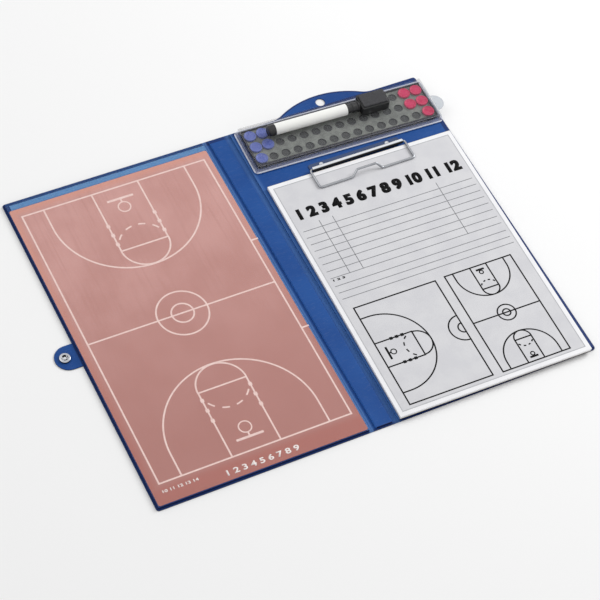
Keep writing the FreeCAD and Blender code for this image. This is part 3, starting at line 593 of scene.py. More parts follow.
card = Finish("court_print", (214, 162, 153), (202, 148, 138), 0.55, 0.15, 0.006,
              mottle=55, Specular_IOR_Level=0.12)
footward = card.stretch(axis(card, Y), COURT_HIGH.y, COURT_LOW.y)
card.repaint(footward, (180, 122, 111), share=0.85)
boards = card.noise(card.spot, detail=5.0, squeeze=BOARD_GRAIN)
card.repaint(card.stretch(boards, *BOARD_RANGE), (184, 129, 118), share=0.3)
edge = card.stretch(outside_of(card, COURT_LOW, COURT_HIGH), 0.0, MARGIN_FADE)
margin_tone = card.mix(footward, paint(218, 153, 134), paint(181, 111, 98))
card.repaint(edge, margin_tone, share=0.8)
print("court between", [round(v / MM, 1) for v in (*COURT_LOW, *COURT_HIGH)])

# %% [markdown]
# ## Clear window sheet
# Thin clear plastic is mostly a hole in the picture with a haze and a gloss. A refracting glass
# would cost many samples and darken what lies beneath, so the share that is solid is set by
# Alpha: small face on, larger at a glancing angle, where real plastic starts to mirror.
# The window clings to the card and is fused to the outer weld, but lies loose between them,
# where it gets a painted highlight: a paler blue tone and more haze.

# %% Clear plastic recipe and the window
CARD_EDGE = 0.6 * MM


def cloud(made, mask, haze):
    """Make a clear plastic hazier where a mask is 1."""
    made.solid = made.math("MULTIPLY_ADD", mask, haze, made.solid)
    made.wire(made.solid, made.inputs["Alpha"])


def clear_plastic(name, tone, haze, glance, rough):
    made = Finish(name, tone, tone, rough, grain=6.0, depth=0.02, spread=0.02, mottle=50)
    made.solid = haze
    cloud(made, made.add("LayerWeight", {"Blend": 0.25})["Fresnel"], glance)
    return made


sheet = clear_plastic("clear_window", (206, 226, 248), 0.02, 0.16, 0.14)
# painted highlight: between the card and the weld the sheet is hazier and paler blue
off_card_sheen = sheet.stretch(outside_of(sheet, *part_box("court_card")), 0.0, CARD_EDGE)
cloud(sheet, sheet.times(off_card_sheen, sheet.rest_of(weld_rim_shade(sheet))), haze=0.2)
sheet.repaint(off_card_sheen, (150, 206, 252))
print("clear finish", sheet.material.name)

# %% [markdown]
# ## Clear case
# The case's flange and thumb tab are hazier, and the flange's edge gets a pale painted highlight.
# Its upright walls are painted darker than the flat ones, as painted shade. The case lies a little
# askew on the leaf, so places on it are measured along the way that its lid slides.

# %% Clear tray and lid
CASE_FLANGE = 1.3 * MM
FLANGE_EDGE = (-1.5 * MM, -0.9 * MM)
WALL_SHADE_TONE = (46, 48, 58)
THUMB_REACH, THUMB_SOFT = 9.5 * MM, 0.4 * MM


def joint_axis(name):
    return Vector(next(joint["axis"] for joint in frame["joints"] if joint["name"] == name))


def case_gap(made, low, high, slide):
    """How far a spot lies outside the case's outline, which is turned on the page."""
    ways = (slide, Vector((-slide.y, slide.x, 0)))
    share, lean = abs(slide.x), abs(slide.y)
    size, middle = high - low, (low + high) / 2
    gaps = []
    for way, main, other in zip(ways, size.xy, size.yx):
        half = (main * share - other * lean) / (share ** 2 - lean ** 2) / 2
        offset = made.apart(measured(made, "DOT_PRODUCT", way), middle.xy.dot(way.xy))
        gaps.append(made.math("SUBTRACT", offset, half))
    return made.math("MAXIMUM", *gaps)


lid_slide = joint_axis("lid_slide").normalized()
tray = clear_plastic("clear_case", (226, 226, 240), 0.05, 0.35, 0.1)
tray_low, tray_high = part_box("case_tray")
flange_top = tray_low.z + CASE_FLANGE
on_flange = tray.stretch(axis(tray, Z), flange_top, flange_top - STEP_SOFT)
brim = tray.stretch(case_gap(tray, tray_low, tray_high, lid_slide), *FLANGE_EDGE)
# painted highlight: the flange's edge is hazier and pale
flange_highlight = tray.times(on_flange, brim)
cloud(tray, on_flange, haze=0.11)
cloud(tray, flange_highlight, haze=0.5)
tray.repaint(flange_highlight, (232, 236, 248))
# painted shade: the tray's upright walls are painted dark
tray.repaint(tray.times(tray.rest_of(on_flange), upright(tray)), WALL_SHADE_TONE)

lid = clear_plastic("clear_lid", (226, 228, 234), 0.022, 0.22, 0.08)
lid_low, lid_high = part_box("case_lid")
lid_end = Vector((lid_high.x, (lid_low.y + lid_high.y) / 2, 0))
thumb_start = lid_end.dot(lid_slide) - THUMB_REACH
lid_run = measured(lid, "DOT_PRODUCT", lid_slide)
on_thumb = lid.stretch(lid_run, thumb_start, thumb_start + THUMB_SOFT)
cloud(lid, on_thumb, haze=0.45)
# painted shade: the lid's upright walls are painted dark
lid.repaint(upright(lid), WALL_SHADE_TONE)
lid.repaint(on_thumb, (196, 203, 211))
print("clear finishes", tray.material.name, lid.material.name)

# %% [markdown]
# ## Counter rack
# The rack is one grey moulding. Its rim and sides are painted nearly black, as painted shade
# along the case's walls, and the floors of its pockets are painted a darker grey, as painted
# shade in the hollows. Height tells them apart: the bed lies where the counters rest.

# %% Counter rack finish
BED_STEP = 0.15 * MM
RACK_SHADE_TONE = (24, 24, 27)
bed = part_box("blue_counters")[0].z
rack = Finish("rack_grey", (130, 133, 128), (112, 115, 111), 0.8, 0.3, 0.06,
              mottle=7, Specular_IOR_Level=0.15)
# painted shade: the pocket floors are painted a darker grey
rack.repaint(rack.stretch(axis(rack, Z), bed - BED_STEP, bed - 3 * BED_STEP), (70, 71, 71))
# painted shade: the sides and the rim above the bed are painted nearly black
rack.repaint(upright(rack), RACK_SHADE_TONE)
rack.repaint(rack.stretch(axis(rack, Z), bed + BED_STEP, bed + 2 * BED_STEP), RACK_SHADE_TONE)
print("rack bed at mm", round(bed / MM, 2))

# %% [markdown]
# ## Working on meshes
# The next helpers do what a modeller does by hand: clear the selection, copy a piece, pick faces
# or points by place, and apply a modifier. A copied node is loose triangles, so it is merged and
# its flat areas are dissolved before its edges are rounded.

# %% Mesh helpers
MERGE = 0.002 * MM
FLAT = math.radians(0.4)
SMOOTH = math.radians(38)


def leave_edit():
    bpy.ops.object.mode_set(mode="OBJECT")


def apply_place():
    bpy.ops.object.transform_apply(location=True, rotation=True, scale=True)


def clear_selection():
    if bpy.context.mode != "OBJECT":
        leave_edit()
    bpy.ops.object.select_all(action="DESELECT")


def hold(piece):
    """Make one object the only selected and active one."""
    clear_selection()
    piece.select_set(True)
    bpy.context.view_layer.objects.active = piece


def primitive(add, name, scale=(1, 1, 1), **settings):
    """A new primitive, stretched, with its place and turn moved into its mesh."""
    clear_selection()
    add(**settings)
    piece = bpy.context.object
    piece.name = name
    piece.scale = scale
    apply_place()
    return piece


def copied(piece, name, move, turn=0.0):
    """A copy of a piece with its own mesh, turned about the origin by degrees and then moved."""
    hold(piece)
    bpy.ops.object.duplicate(linked=False)
    copy = bpy.context.object
    copy.name = name
    copy.rotation_euler = (0, 0, math.radians(turn))
    copy.location = move
    apply_place()
    return copy


def copy_node(node, name):
    """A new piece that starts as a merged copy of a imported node."""
    piece = bpy.data.objects.new(name, frame["nodes"][node].data.copy())
    bpy.context.collection.objects.link(piece)
    hold(piece)
    bpy.ops.mesh.customdata_custom_splitnormals_clear()
    bpy.ops.object.mode_set(mode="EDIT")
    bpy.ops.mesh.select_all(action="SELECT")
    bpy.ops.mesh.remove_doubles(threshold=MERGE)
    bpy.ops.mesh.dissolve_limited(angle_limit=FLAT)
    leave_edit()
    return piece


def pick(piece, test, part="verts"):
    """Open a piece in edit mode with only the points, edges or faces that pass a test selected."""
    hold(piece)
    bpy.ops.object.mode_set(mode="EDIT")
    mode = {"verts": "VERT", "edges": "EDGE", "faces": "FACE"}[part]
    bpy.ops.mesh.select_mode(type=mode)
    bpy.ops.mesh.select_all(action="DESELECT")
    mesh = bmesh.from_edit_mesh(piece.data)
    for element in getattr(mesh, part):
        element.select_set(test(element))
    mesh.select_flush_mode()
    bmesh.update_edit_mesh(piece.data)


print("mesh helpers ready")

# %% [markdown]
# ## Finishing a piece
# A modifier is added, set and applied at once. Rounding is a bevel on the sharp edges only, with
# weighted normals so that flat faces stay flat. A finished piece then gets its material, the
# nodes that it stands for are hidden, and it is put on the body that it rides on.

# %% Helpers that finish a piece
def modify(piece, kind, **settings):
    """Add a modifier, set it and apply it."""
    hold(piece)
    modifier = piece.modifiers.new(kind.lower(), kind)
    for setting, value in settings.items():
        setattr(modifier, setting, value)
    bpy.ops.object.modifier_apply(modifier=modifier.name)


def shade(piece):
    hold(piece)
    bpy.ops.object.shade_smooth_by_angle(angle=SMOOTH)
    modify(piece, "WEIGHTED_NORMAL", keep_sharp=True)


def round_edges(piece, width, segments=2):
    """Round the sharp edges by a width in millimetres, and shade the rest smooth."""
    modify(piece, "BEVEL", width=width * MM, segments=segments, limit_method="ANGLE",
           angle_limit=SMOOTH, use_clamp_overlap=True)
    shade(piece)


def settle(piece, body, slot, *nodes, look=None):
    """Give a finished piece its finish, hide the nodes that it stands for, and put it on its body.
    """
    piece.data.materials.clear()
    piece.data.materials.append(FINISHES[look or slot].material)
    if nodes:
        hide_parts(*nodes)
    if body:
        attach(piece, body)
    print(piece.name, "has", len(piece.data.polygons), "faces")


def body_of(node):
    return frame["nodes"][node]["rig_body"]


def dress(node, name, width, slot, look=None, segments=2):
    """Put a copy of a node with rounded edges in its place."""
    piece = copy_node(node, name)
    round_edges(piece, width, segments)
    settle(piece, body_of(node), slot, node, look=look)


print("finishing helpers ready")

# %% [markdown]
# ## Boards and sheets inside the folder
# The grey boards, the steel sheet, the court card, the magnets and the marker's ink core are
# right as they come, so they keep their meshes and only get a finish.

# %% Dress the nodes that stay
STAYING = {
    "clip_board": "grey_board", "spine_board": "grey_board", "court_board": "grey_board",
    "court_steel_sheet": "steel_sheet", "court_card": "court_print",
    "counter_magnets": "magnet_dark", "marker_ink_core": "ink_fibre",
}
for node, look in STAYING.items():
    mesh = frame["nodes"][node].data
    mesh.materials.clear()
    mesh.materials.append(FINISHES[look].material)
print("dressed", sorted(STAYING))

# %% [markdown]
# ## Vinyl skins and creases
# On the real folder one sheet runs across both creases. Here each skin is cut a little short of
# its crease, and a narrow web with a pressed line fills the gap.

# %% Skins, cut back from the creases
WEB_HALF = 1.6 * MM
SKIN_ROUND = 0.12
CUT_RIGHT, CUT_LEFT = Vector((1, 0, 0)), Vector((-1, 0, 0))
CUTS = {
    "clip": ((crease + WEB_HALF, CUT_LEFT),),
    "spine": ((crease - WEB_HALF, CUT_RIGHT), (WEB_HALF - crease, CUT_LEFT)),
    "court": ((-crease - WEB_HALF, CUT_RIGHT),),
}


def slice_at(piece, x, side, drop):
    """Slice a piece at x. To drop a side, what lies there goes and the cut is closed."""
    pick(piece, lambda vert: True)
    bpy.ops.mesh.bisect(plane_co=(x, 0, 0), plane_no=side, use_fill=drop, clear_outer=drop)
    leave_edit()


for panel, cuts in CUTS.items():
    for layer in ("outer", "inner"):
        node = f"{panel}_{layer}_skin"
        cover = copy_node(node, f"{panel}_{layer}_cover")
        for x, side in cuts:
            slice_at(cover, x, side, drop=True)
        round_edges(cover, SKIN_ROUND)
        settle(cover, body_of(node), "blue_vinyl", node)

# %% [markdown]
# A web is a block across the crease, cut into narrow strips. The strips in the middle are pressed
# down, which leaves the line that the fold follows. One web is modelled, and a copy of it fills
# the other crease.

# %% Crease webs
CREASE_CUTS = 15
PRESS_DEPTH = 0.28 * MM
PRESS_HALF = 0.5 * MM

right_web = primitive(bpy.ops.mesh.primitive_cube_add, "right_crease_web",
                      (2 * WEB_HALF, 2 * head, 2 * skin), size=1, location=(crease, 0, skin))
pick(right_web, lambda edge: abs(edge.verts[0].co.x - edge.verts[1].co.x) > WEB_HALF, "edges")
bpy.ops.mesh.subdivide(number_cuts=CREASE_CUTS)
pick(right_web, lambda vert: abs(vert.co.x - crease) < PRESS_HALF and vert.co.z > skin)
bpy.ops.transform.translate(value=(0, 0, -PRESS_DEPTH))
leave_edit()
shade(right_web)
left_web = copied(right_web, "left_crease_web", (-2 * crease, 0, 0))

WEBS = ((right_web, crease, "clip_leaf", 1), (left_web, -crease, "court_leaf", -1))
for web, x, leaf, toward_leaf in WEBS:
    settle(web, None, "blue_vinyl")
    start, end = (x + toward_leaf * WEB_HALF, 0, 0), (x - toward_leaf * WEB_HALF, 0, 0)
    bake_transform(web)

# %% [markdown]
# ## Strap and press stud
# The strap is two layers of the same vinyl, welded to the leaf's edge. It bends close to that
# edge, so it gets a few extra loops there.

# %% Closing strap
STRAP_BEND = 4 * MM
STRAP_LOOPS = 6
STRAP_ROUND = 0.15
free_edge = leaf_low.x

strap = copy_node("closing_strap", "strap")
round_edges(strap, STRAP_ROUND)
for loop in range(1, STRAP_LOOPS):
    slice_at(strap, free_edge - STRAP_BEND * loop / STRAP_LOOPS, CUT_LEFT, drop=False)
settle(strap, None, "blue_vinyl", "closing_strap")
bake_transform(strap)

# %% [markdown]
# A press stud's socket is a rolled ring with two short spring wires across its mouth, which grip
# the stud's neck. The ring, the cap and the stud come from the model with their edges rolled;
# the springs are added here, one modelled and one copied.

# %% Press stud
SPRING_WIRE = 0.35 * MM
SPRING_LENGTH = 5.6 * MM
SPRING_OFFSET = 2.2 * MM
SPRING_SIDES = 12
SNAP_ROUND, SPRING_ROUND = 0.12, 0.1
SNAP_LOOKS = {"snap_cap": None, "snap_socket": "snap_metal", "snap_stud": None}
for node, look in SNAP_LOOKS.items():
    dress(node, node + "_plated", SNAP_ROUND, "bright_metal", look)

spring_place = (socket_low + socket_high) / 2 + Vector((-SPRING_OFFSET, 0, SPRING_WIRE))
left_spring = primitive(bpy.ops.mesh.primitive_cylinder_add, "snap_spring_left",
                        vertices=SPRING_SIDES, radius=SPRING_WIRE, depth=SPRING_LENGTH,
                        location=spring_place, rotation=(math.pi / 2, 0, 0))
round_edges(left_spring, SPRING_ROUND)
right_spring = copied(left_spring, "snap_spring_right", (2 * SPRING_OFFSET, 0, 0))
for spring in (left_spring, right_spring):
    settle(spring, "strap", "bright_metal")

# %% [markdown]
# ## Drawing flat lines
# Court lines are ink, so they are drawn as flat strips. A straight line is a plane stretched to
# its length. A curve is one short edge, spun about the curve's centre.

# %% Straight and curved lines
ARC_STEP, ARC_LEAST = math.radians(4), 3


def flat_bar(start, end, width):
    """A straight printed line between two places on a drawing, all in millimetres."""
    start, end = Vector(start) * MM, Vector(end) * MM
    run, middle = end - start, (start + end) / 2
    return primitive(bpy.ops.mesh.primitive_plane_add, "bar", (run.length, width * MM, 1), size=1,
                     location=(*middle, 0), rotation=(0, 0, math.atan2(run.y, run.x)))


def flat_arc(centre, radius, first, last, width):
    """A curved printed line from one bearing to another, in degrees, all sizes in millimetres."""
    first, last = math.radians(first), math.radians(last)
    middle = Vector((*centre, 0)) * MM
    out = Vector((math.cos(first), math.sin(first), 0))
    clear_selection()
    bpy.ops.mesh.primitive_plane_add(size=width * MM, location=middle + out * radius * MM,
                                     rotation=(0, 0, first))
    arc = bpy.context.object
    pick(arc, lambda vert: vert.co.y > 0)
    bpy.ops.mesh.delete(type="VERT")
    bpy.ops.mesh.select_all(action="SELECT")
    bpy.ops.transform.translate(value=Vector((-out.y, out.x, 0)) * width * MM / 2)
    steps = max(ARC_LEAST, round(abs(last - first) / ARC_STEP))
    bpy.ops.mesh.spin(steps=steps, angle=last - first, center=middle, axis=(0, 0, -1))
    bpy.ops.mesh.select_all(action="SELECT")
    bpy.ops.mesh.remove_doubles(threshold=MERGE)
    leave_edit()
    apply_place()
    return arc


def flat_ring(centre, radius, width):
    return flat_arc(centre, radius, 0, 360, width)


print("line helpers ready, arcs step by degrees", round(math.degrees(ARC_STEP), 1))

# %% [markdown]
# The strips of a drawing are joined at slightly different heights, so that no two faces share a
# plane where lines cross. A finished drawing is turned into place and given the thickness of a
# film of ink.

# %% Join and print a drawing
STRIP_LEVELS = 7
STRIP_STEP = 0.002 * MM
INK = 0.025 * MM
ON_COURT, ON_PAD = ("court_leaf", "court_print"), ("note_pad", "paper")


def joined(strips, name):
    """Join the strips of one drawing."""
    clear_selection()
    for at, strip in enumerate(strips):
        strip.location.z += at % STRIP_LEVELS * STRIP_STEP
        strip.select_set(True)
    bpy.context.view_layer.objects.active = strips[0]
    if len(strips) > 1:
        bpy.ops.object.join()
    drawing = bpy.context.object
    drawing.name = name
    return drawing


def printed(drawing, carrier, look, place, turn=0.0, ink=INK):
    """Lay a drawing face up in its place on the court or the pad, as thick as ink."""
    hold(drawing)
    drawing.rotation_euler = (0, 0, turn)
    drawing.location = place
    apply_place()
    pick(drawing, lambda face: face.normal.z < 0, "faces")
    bpy.ops.mesh.flip_normals()
    leave_edit()
    modify(drawing, "SOLIDIFY", thickness=ink, offset=1.0)
    settle(drawing, *carrier, look=look)


print("ink is mm thick", round(INK / MM, 3))

# %% [markdown]
# ## One end of a court
# Both ends of a court are the same, and the pad shows courts too, at other sizes. So one
# function draws an end from its measures: lane, foul line and circle, the long arc, backboard
# and ring. The end line lies on the drawing's X axis and the court runs up from it.

# %% Draw one end of a court
DASH_COUNT = 6
TICK = 1.1
BOARD_LINE, RING_LINE = 1.5, 0.8


def court_end(size):
    line, lane, foul, wing = (size[key] for key in ("line", "lane_half", "foul_line", "arc_half"))
    ring, board, hoop = size["ring_gap"], size["board_gap"], size["ring_radius"]
    wing_end, tick_half = size["arc_start"] + line / 4, TICK * line
    strips = []
    for side in (-1, 1):
        strips.append(flat_bar((side * lane, 0), (side * lane, foul), line))
        strips.append(flat_bar((side * wing, 0), (side * wing, wing_end), line))
        for tick in size["ticks"]:
            ends = (side * lane - tick_half, tick), (side * lane + tick_half, tick)
            strips.append(flat_bar(*ends, 2 * tick_half))
    strips.append(flat_bar((-lane - line / 2, foul), (lane + line / 2, foul), line))
    dash = 180 / (2 * DASH_COUNT - 1)
    bearings = [(0, 180)]
    for at in range(1, DASH_COUNT - 1):
        bearings.append((180 + 2 * at * dash, 180 + (2 * at + 1) * dash))
    for first, last in bearings:
        strips.append(flat_arc((0, foul), size["foul_radius"], first, last, line))
    strips.append(flat_arc((0, size["arc_start"]), wing, 0, 180, line))
    half = size["board_half"]
    strips.append(flat_bar((-half, board), (half, board), BOARD_LINE * line))
    strips.append(flat_bar((0, board), (0, ring - hoop), line))
    strips.append(flat_ring((0, ring), hoop, RING_LINE * line))
    return joined(strips, "court_end")


print("court end has", DASH_COUNT - 2, "dashes to its hidden half circle")

# %% [markdown]
# ## The big court
# The left leaf's court is 198 by 333 mm. One end is drawn and copied round to the other, then
# come the outline, the halfway line, two circles in the middle and two short marks that stick
# out from the right side line.

# %% The big court's lines
INK_LIFT = 0.006 * MM
BIG_COURT = {
    "line": 1.7, "lane_half": 25.0, "foul_line": 76.0, "foul_radius": 25.2, "arc_half": 76.2,
    "arc_start": 25.6, "board_gap": 14.4, "board_half": 14.0, "ring_gap": 25.6,
    "ring_radius": 6.2, "ticks": (43.0, 55.0, 67.0), "circles": (25.8, 11.1),
}
SIDE_MARKS = (111.6, 226.0)
SIDE_MARK_LENGTH = 7.0


def outline(width, length, line):
    """A court's outline, centred on the drawing's Y axis and standing on its X axis."""
    half, over = width / 2, line / 2
    sides = [flat_bar((side * half, 0), (side * half, length), line) for side in (-1, 1)]
    ends = [flat_bar((-half - over, y), (half + over, y), line) for y in (0, length)]
    return sides + ends


def full_court(size, width, length):
    """Both ends of a court, its outline, halfway line and middle circles."""
    near, middle, line = court_end(size), length / 2, size["line"]
    far = copied(near, "far_end", (0, length * MM, 0), turn=180)
    strips = [near, far] + outline(width, length, line)
    strips.append(flat_bar((-width / 2, middle), (width / 2, middle), line))
    return strips + [flat_ring((0, middle), radius, line) for radius in size["circles"]]


court_width, court_length = (COURT_HIGH - COURT_LOW) / MM
strips = full_court(BIG_COURT, court_width, court_length)
for mark in SIDE_MARKS:
    start = Vector(((court_width + BIG_COURT["line"]) / 2, court_length - mark))
    strips.append(flat_bar(start, start + Vector((SIDE_MARK_LENGTH, 0)), BIG_COURT["line"]))
card_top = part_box("court_card")[1].z
court_place = Vector(((COURT_LOW.x + COURT_HIGH.x) / 2, COURT_LOW.y, card_top + INK_LIFT))
printed(joined(strips, "court_lines"), ON_COURT, "printed_line", court_place)

# %% [markdown]
# ## Rows of numbers
# Two rows of plain numbers take the court's foot margin. They are text objects, turned into
# meshes before they are placed, so that their place ends up in the mesh. A small offset thickens
# the strokes, but a large one folds the outline over itself, so a bold row is four copies laid a
# little apart, as a printer's double strike is.

# %% Numbers as meshes
TEXT_OFFSET = 0.03
TEXT_CURVES = 4


def number_row(name, words, height, width, bold=0.0):
    """A row of numbers that fills a height and a width, made bolder by some millimetres."""
    clear_selection()
    bpy.ops.object.text_add()
    row = bpy.context.object
    row.name = name
    row.data.body = words
    row.data.offset = TEXT_OFFSET
    row.data.resolution_u = TEXT_CURVES
    bpy.ops.object.convert(target="MESH")
    row = bpy.context.object
    pick(row, lambda face: True, "faces")
    bpy.ops.mesh.beautify_fill(angle_limit=math.pi)
    leave_edit()
    xs = [vert.co.x for vert in row.data.vertices]
    ys = [vert.co.y for vert in row.data.vertices]
    wide = (width - 2 * bold) * MM / (max(xs) - min(xs))
    tall = (height - 2 * bold) * MM / (max(ys) - min(ys))
    row.scale = (wide, tall, 1)
    row.location = (-(max(xs) + min(xs)) / 2 * wide, bold * MM - min(ys) * tall, 0)
    apply_place()
    if bold:
        corners = [Vector((x, y, 0)) for x in (-bold, bold) for y in (-bold, bold)]
        strikes = [copied(row, "strike", corner * MM) for corner in corners]
        bpy.data.objects.remove(row)
        row = joined(strikes, name)
    return row


FOOT_ROWS = (  # name, numbers, height, width, and place from the court's foot, in mm
    ("court_numbers", "1 2 3 4 5 6 7 8 9", 6.4, 74.0, (0.0, -17.0)),
    ("corner_numbers", "10 11 12 13 14", 3.2, 36.0, (17.5 - court_width / 2, -10.6)),
)
for *row, (x, y) in FOOT_ROWS:
    place = court_place + Vector((x, y, 0)) * MM
    printed(number_row(*row), ON_COURT, "printed_white", place)

# %% [markdown]
# ## The clear window
# The window is one clear sheet over the card, welded down round it. It starts as a copy of its
# node; the ceiling over the card is lifted clear of the ink, and its foot off the vinyl, so
# that no two faces lie in the same plane.

# %% Clear window
WINDOW_CLEAR = 0.06 * MM
FOOT_CLEAR = 0.02 * MM
WINDOW_ROUND = 0.05
window = copy_node("court_window", "clear_window")
for level, lift in ((card_top, WINDOW_CLEAR), (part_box("court_window")[0].z, FOOT_CLEAR)):
    pick(window, lambda vert: abs(vert.co.z - level) < FOOT_CLEAR)
    bpy.ops.transform.translate(value=(0, 0, lift))
leave_edit()
round_edges(window, WINDOW_ROUND)
settle(window, "court_leaf", "clear_window", "court_window")

# %% [markdown]
# ## Wire clip
# The clip is a plate rolled into a tube along its front edge and riveted through the board.
# The wire bail turns in that tube. The pieces are right as modelled, so they only need merged
# meshes, a rounded edge where the sheet was cut, and bright plating.

# %% Clip plate, rivets and bail
CLIP_LOOKS = (("clip_plate", 0.18, "clip_metal"), ("clip_rivets", 0.1, "bright_metal"),
              ("bail_wire", 0.1, "drawn_wire"))
for node, width, look in CLIP_LOOKS:
    dress(node, node + "_plated", width, "bright_metal", look)

# %% [markdown]
# ## Note pad
# The pad is a card back, a thick stack and a few loose upper sheets, gummed along the head. The
# pad's turn on the page is read from the joint that pulls it out.

# %% Pad back, stack and gum
PAD_LOOKS = (
    ("backing", "pad_card", 0.1), ("stack", "paper", 0.03), ("binding", "binding_gum", 0.1),
)
for layer, slot, width in PAD_LOOKS:
    dress("pad_" + layer, "planner_" + layer, width, slot, segments=1)

pull = joint_axis("pad_pull")
pad_turn = math.atan2(pull.x, -pull.y)
pad_across = Vector((math.cos(pad_turn), math.sin(pad_turn), 0))
pad_up = Vector((-math.sin(pad_turn), math.cos(pad_turn), 0))
print("pad turned by degrees", round(math.degrees(pad_turn), 2))

# %% [markdown]
# A pad in use never lies quite square, so one thin sheet is modelled, and each of the three upper
# sheets is a copy of it, slid and turned by a hair.

# %% Loose upper sheets
PAD_WIDTH, PAD_HEIGHT = 210.0, 297.0
SHEET_SLIPS = ((0.0, 0.0, 0.00), (0.35, -0.3, 0.05), (-0.25, -0.55, -0.04))
SHEET_GAP, SHEET_ROUND = 0.02 * MM, 0.02
sheet_low, sheet_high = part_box("pad_sheets")
pad_corner = Vector((sheet_low.x, sheet_high.y - PAD_HEIGHT * MM * pad_up.y, sheet_high.z))
sheet_rise = (sheet_high.z - sheet_low.z) / len(SHEET_SLIPS)


def on_pad(x, y, z=0.0):
    """A place on the pad's face from its foot left corner, in millimetres across and up."""
    return pad_corner + pad_across * (x * MM) + pad_up * (y * MM) + Vector((0, 0, z))


model = primitive(bpy.ops.mesh.primitive_cube_add, "loose_sheet",
                  (PAD_WIDTH * MM, PAD_HEIGHT * MM, sheet_rise - SHEET_GAP), size=1)
round_edges(model, SHEET_ROUND, segments=1)
for at, (slip_x, slip_y, askew) in enumerate(SHEET_SLIPS):
    middle = on_pad(PAD_WIDTH / 2 + slip_x, PAD_HEIGHT / 2 + slip_y)
    middle.z = sheet_high.z - (at + 0.5) * sheet_rise
    loose = copied(model, f"planner_sheet_{at + 1}", middle, math.degrees(pad_turn) + askew)
    settle(loose, "note_pad", "paper", "pad_sheets")
bpy.data.objects.remove(model)

# %% [markdown]
# ## What the pad shows
# The top sheet is tinted inside a white border. On the tint lie a heading, a ruled table, a place
# for notes, a half court and a small full court.

# %% Tinted panel
BORDER = 4.6
TINT = 0.012 * MM
PRINT_LIFT = 2 * TINT
panel_ends = (PAD_WIDTH / 2, BORDER), (PAD_WIDTH / 2, PAD_HEIGHT - BORDER)
tint = flat_bar(*panel_ends, PAD_WIDTH - 2 * BORDER)
tint.name = "planner_tint"
printed(tint, ON_PAD, "printed_tint", on_pad(0, 0, INK_LIFT), pad_turn, TINT)

# %% [markdown]
# The pad's courts use the same drawing functions as the big court, with their own measures. The
# half court lies on its side, so it is turned by a right angle.

# %% Pad courts
PAD_LINE = 1.5
HALF_COURT = {
    "line": PAD_LINE, "lane_half": 14.7, "foul_line": 40.4, "foul_radius": 14.2,
    "arc_half": 46.0, "arc_start": 8.6, "board_gap": 8.0, "board_half": 7.5, "ring_gap": 13.4,
    "ring_radius": 2.8, "ticks": (18.0, 24.0, 30.0), "circles": (15.0, 5.6),
}
SMALL_COURT = {
    "line": PAD_LINE, "lane_half": 9.0, "foul_line": 28.0, "foul_radius": 9.1, "arc_half": 28.5,
    "arc_start": 8.6, "board_gap": 5.0, "board_half": 4.5, "ring_gap": 8.4, "ring_radius": 2.0,
    "ticks": (), "circles": (9.4, 4.0),
}
HALF_WIDTH, HALF_LENGTH, HALF_PLACE = 120.4, 90.4, (14.4, PAD_HEIGHT - 227.8)
SMALL_WIDTH, SMALL_LENGTH, SMALL_PLACE = 75.0, 122.0, (153.2, PAD_HEIGHT - 288.6)


def print_on_pad(drawing, look, place, turn=0.0):
    printed(drawing, ON_PAD, look, on_pad(*place, PRINT_LIFT), pad_turn + turn)


strips = [court_end(HALF_COURT)] + outline(HALF_WIDTH, HALF_LENGTH, PAD_LINE)
for radius in HALF_COURT["circles"]:
    strips.append(flat_arc((0, HALF_LENGTH), radius, 180, 360, PAD_LINE))
print_on_pad(joined(strips, "planner_half_court"), "printed_black", HALF_PLACE, -math.pi / 2)
strips = full_court(SMALL_COURT, SMALL_WIDTH, SMALL_LENGTH)
print_on_pad(joined(strips, "planner_small_court"), "printed_black", SMALL_PLACE)

# %% [markdown]
# The heading and the small caption are rows of plain numbers, the heading bold. The table is
# ruled in thin grey, measured down from the pad's head, and a paler line frames the tint.

# %% Heading, table rules and border
TABLE_RULES = (65.0, 73.6, 82.4, 91.0, 100.0, 109.0, 118.4, 127.4, 137.6, 146.0, 154.0)
TABLE_POSTS = (30.3, 45.3, 163.6)
TABLE_SIDES = (9.0, 202.0)
POST_ENDS = (57.0, 128.0)
RULE, BORDER_LINE = 0.75, 1.0
PAD_ROWS = (  # name, numbers, height, width, boldness and place on the pad, in mm
    ("planner_numbers", "1 2 3 4 5 6 7 8 9 10 11 12", 14.5, 186.0, 0.65,
     (106.0, PAD_HEIGHT - 51.0)),
    ("notes_numbers", "1 2 3", 2.6, 13.0, 0.08, (17.0, PAD_HEIGHT - 131.6)),
)
for *row, place in PAD_ROWS:
    print_on_pad(number_row(*row), "printed_black", place)

left, right = TABLE_SIDES
top, foot = POST_ENDS
rules = [flat_bar((left, -y), (right, -y), RULE) for y in TABLE_RULES]
rules += [flat_bar((x, -top), (x, -foot), RULE) for x in TABLE_POSTS]
print_on_pad(joined(rules, "planner_table"), "printed_rule", (0, PAD_HEIGHT))
strips = outline(PAD_WIDTH - 2 * BORDER, PAD_HEIGHT - 2 * BORDER, BORDER_LINE)
print_on_pad(joined(strips, "planner_border"), "printed_grey", (PAD_WIDTH / 2, BORDER))

# %% [markdown]
# ## Clear case, tape and rack
# The case is two clear mouldings: a tray with a base plate that is taped to the leaf, and a lid
# that slides over it. Moulded edges are never sharp, and on clear plastic it is the rounded
# edges that catch the light, so these get a fuller bevel than the metal.

# %% Case, tape and rack
CASE_LOOKS = (
    ("case_tape", 0.15, "foam_tape", None), ("case_tray", 0.25, "clear_case", None),
    ("case_lid", 0.25, "clear_case", "clear_lid"), ("counter_rack", 0.15, "rack_grey", None),
)
for node, width, slot, look in CASE_LOOKS:
    dress(node, node.replace("_", "_moulded_", 1), width, slot, look)

# %% [markdown]
# ## Counters
# A counter is a disc with a raised rim and a dished face, so that a fingertip can pick it up.
# One is modelled from a cylinder: its top is inset twice, for the rim and for the slope inside
# it, and the inner face is pressed down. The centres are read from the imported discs, so each
# copy drops into its own pocket.

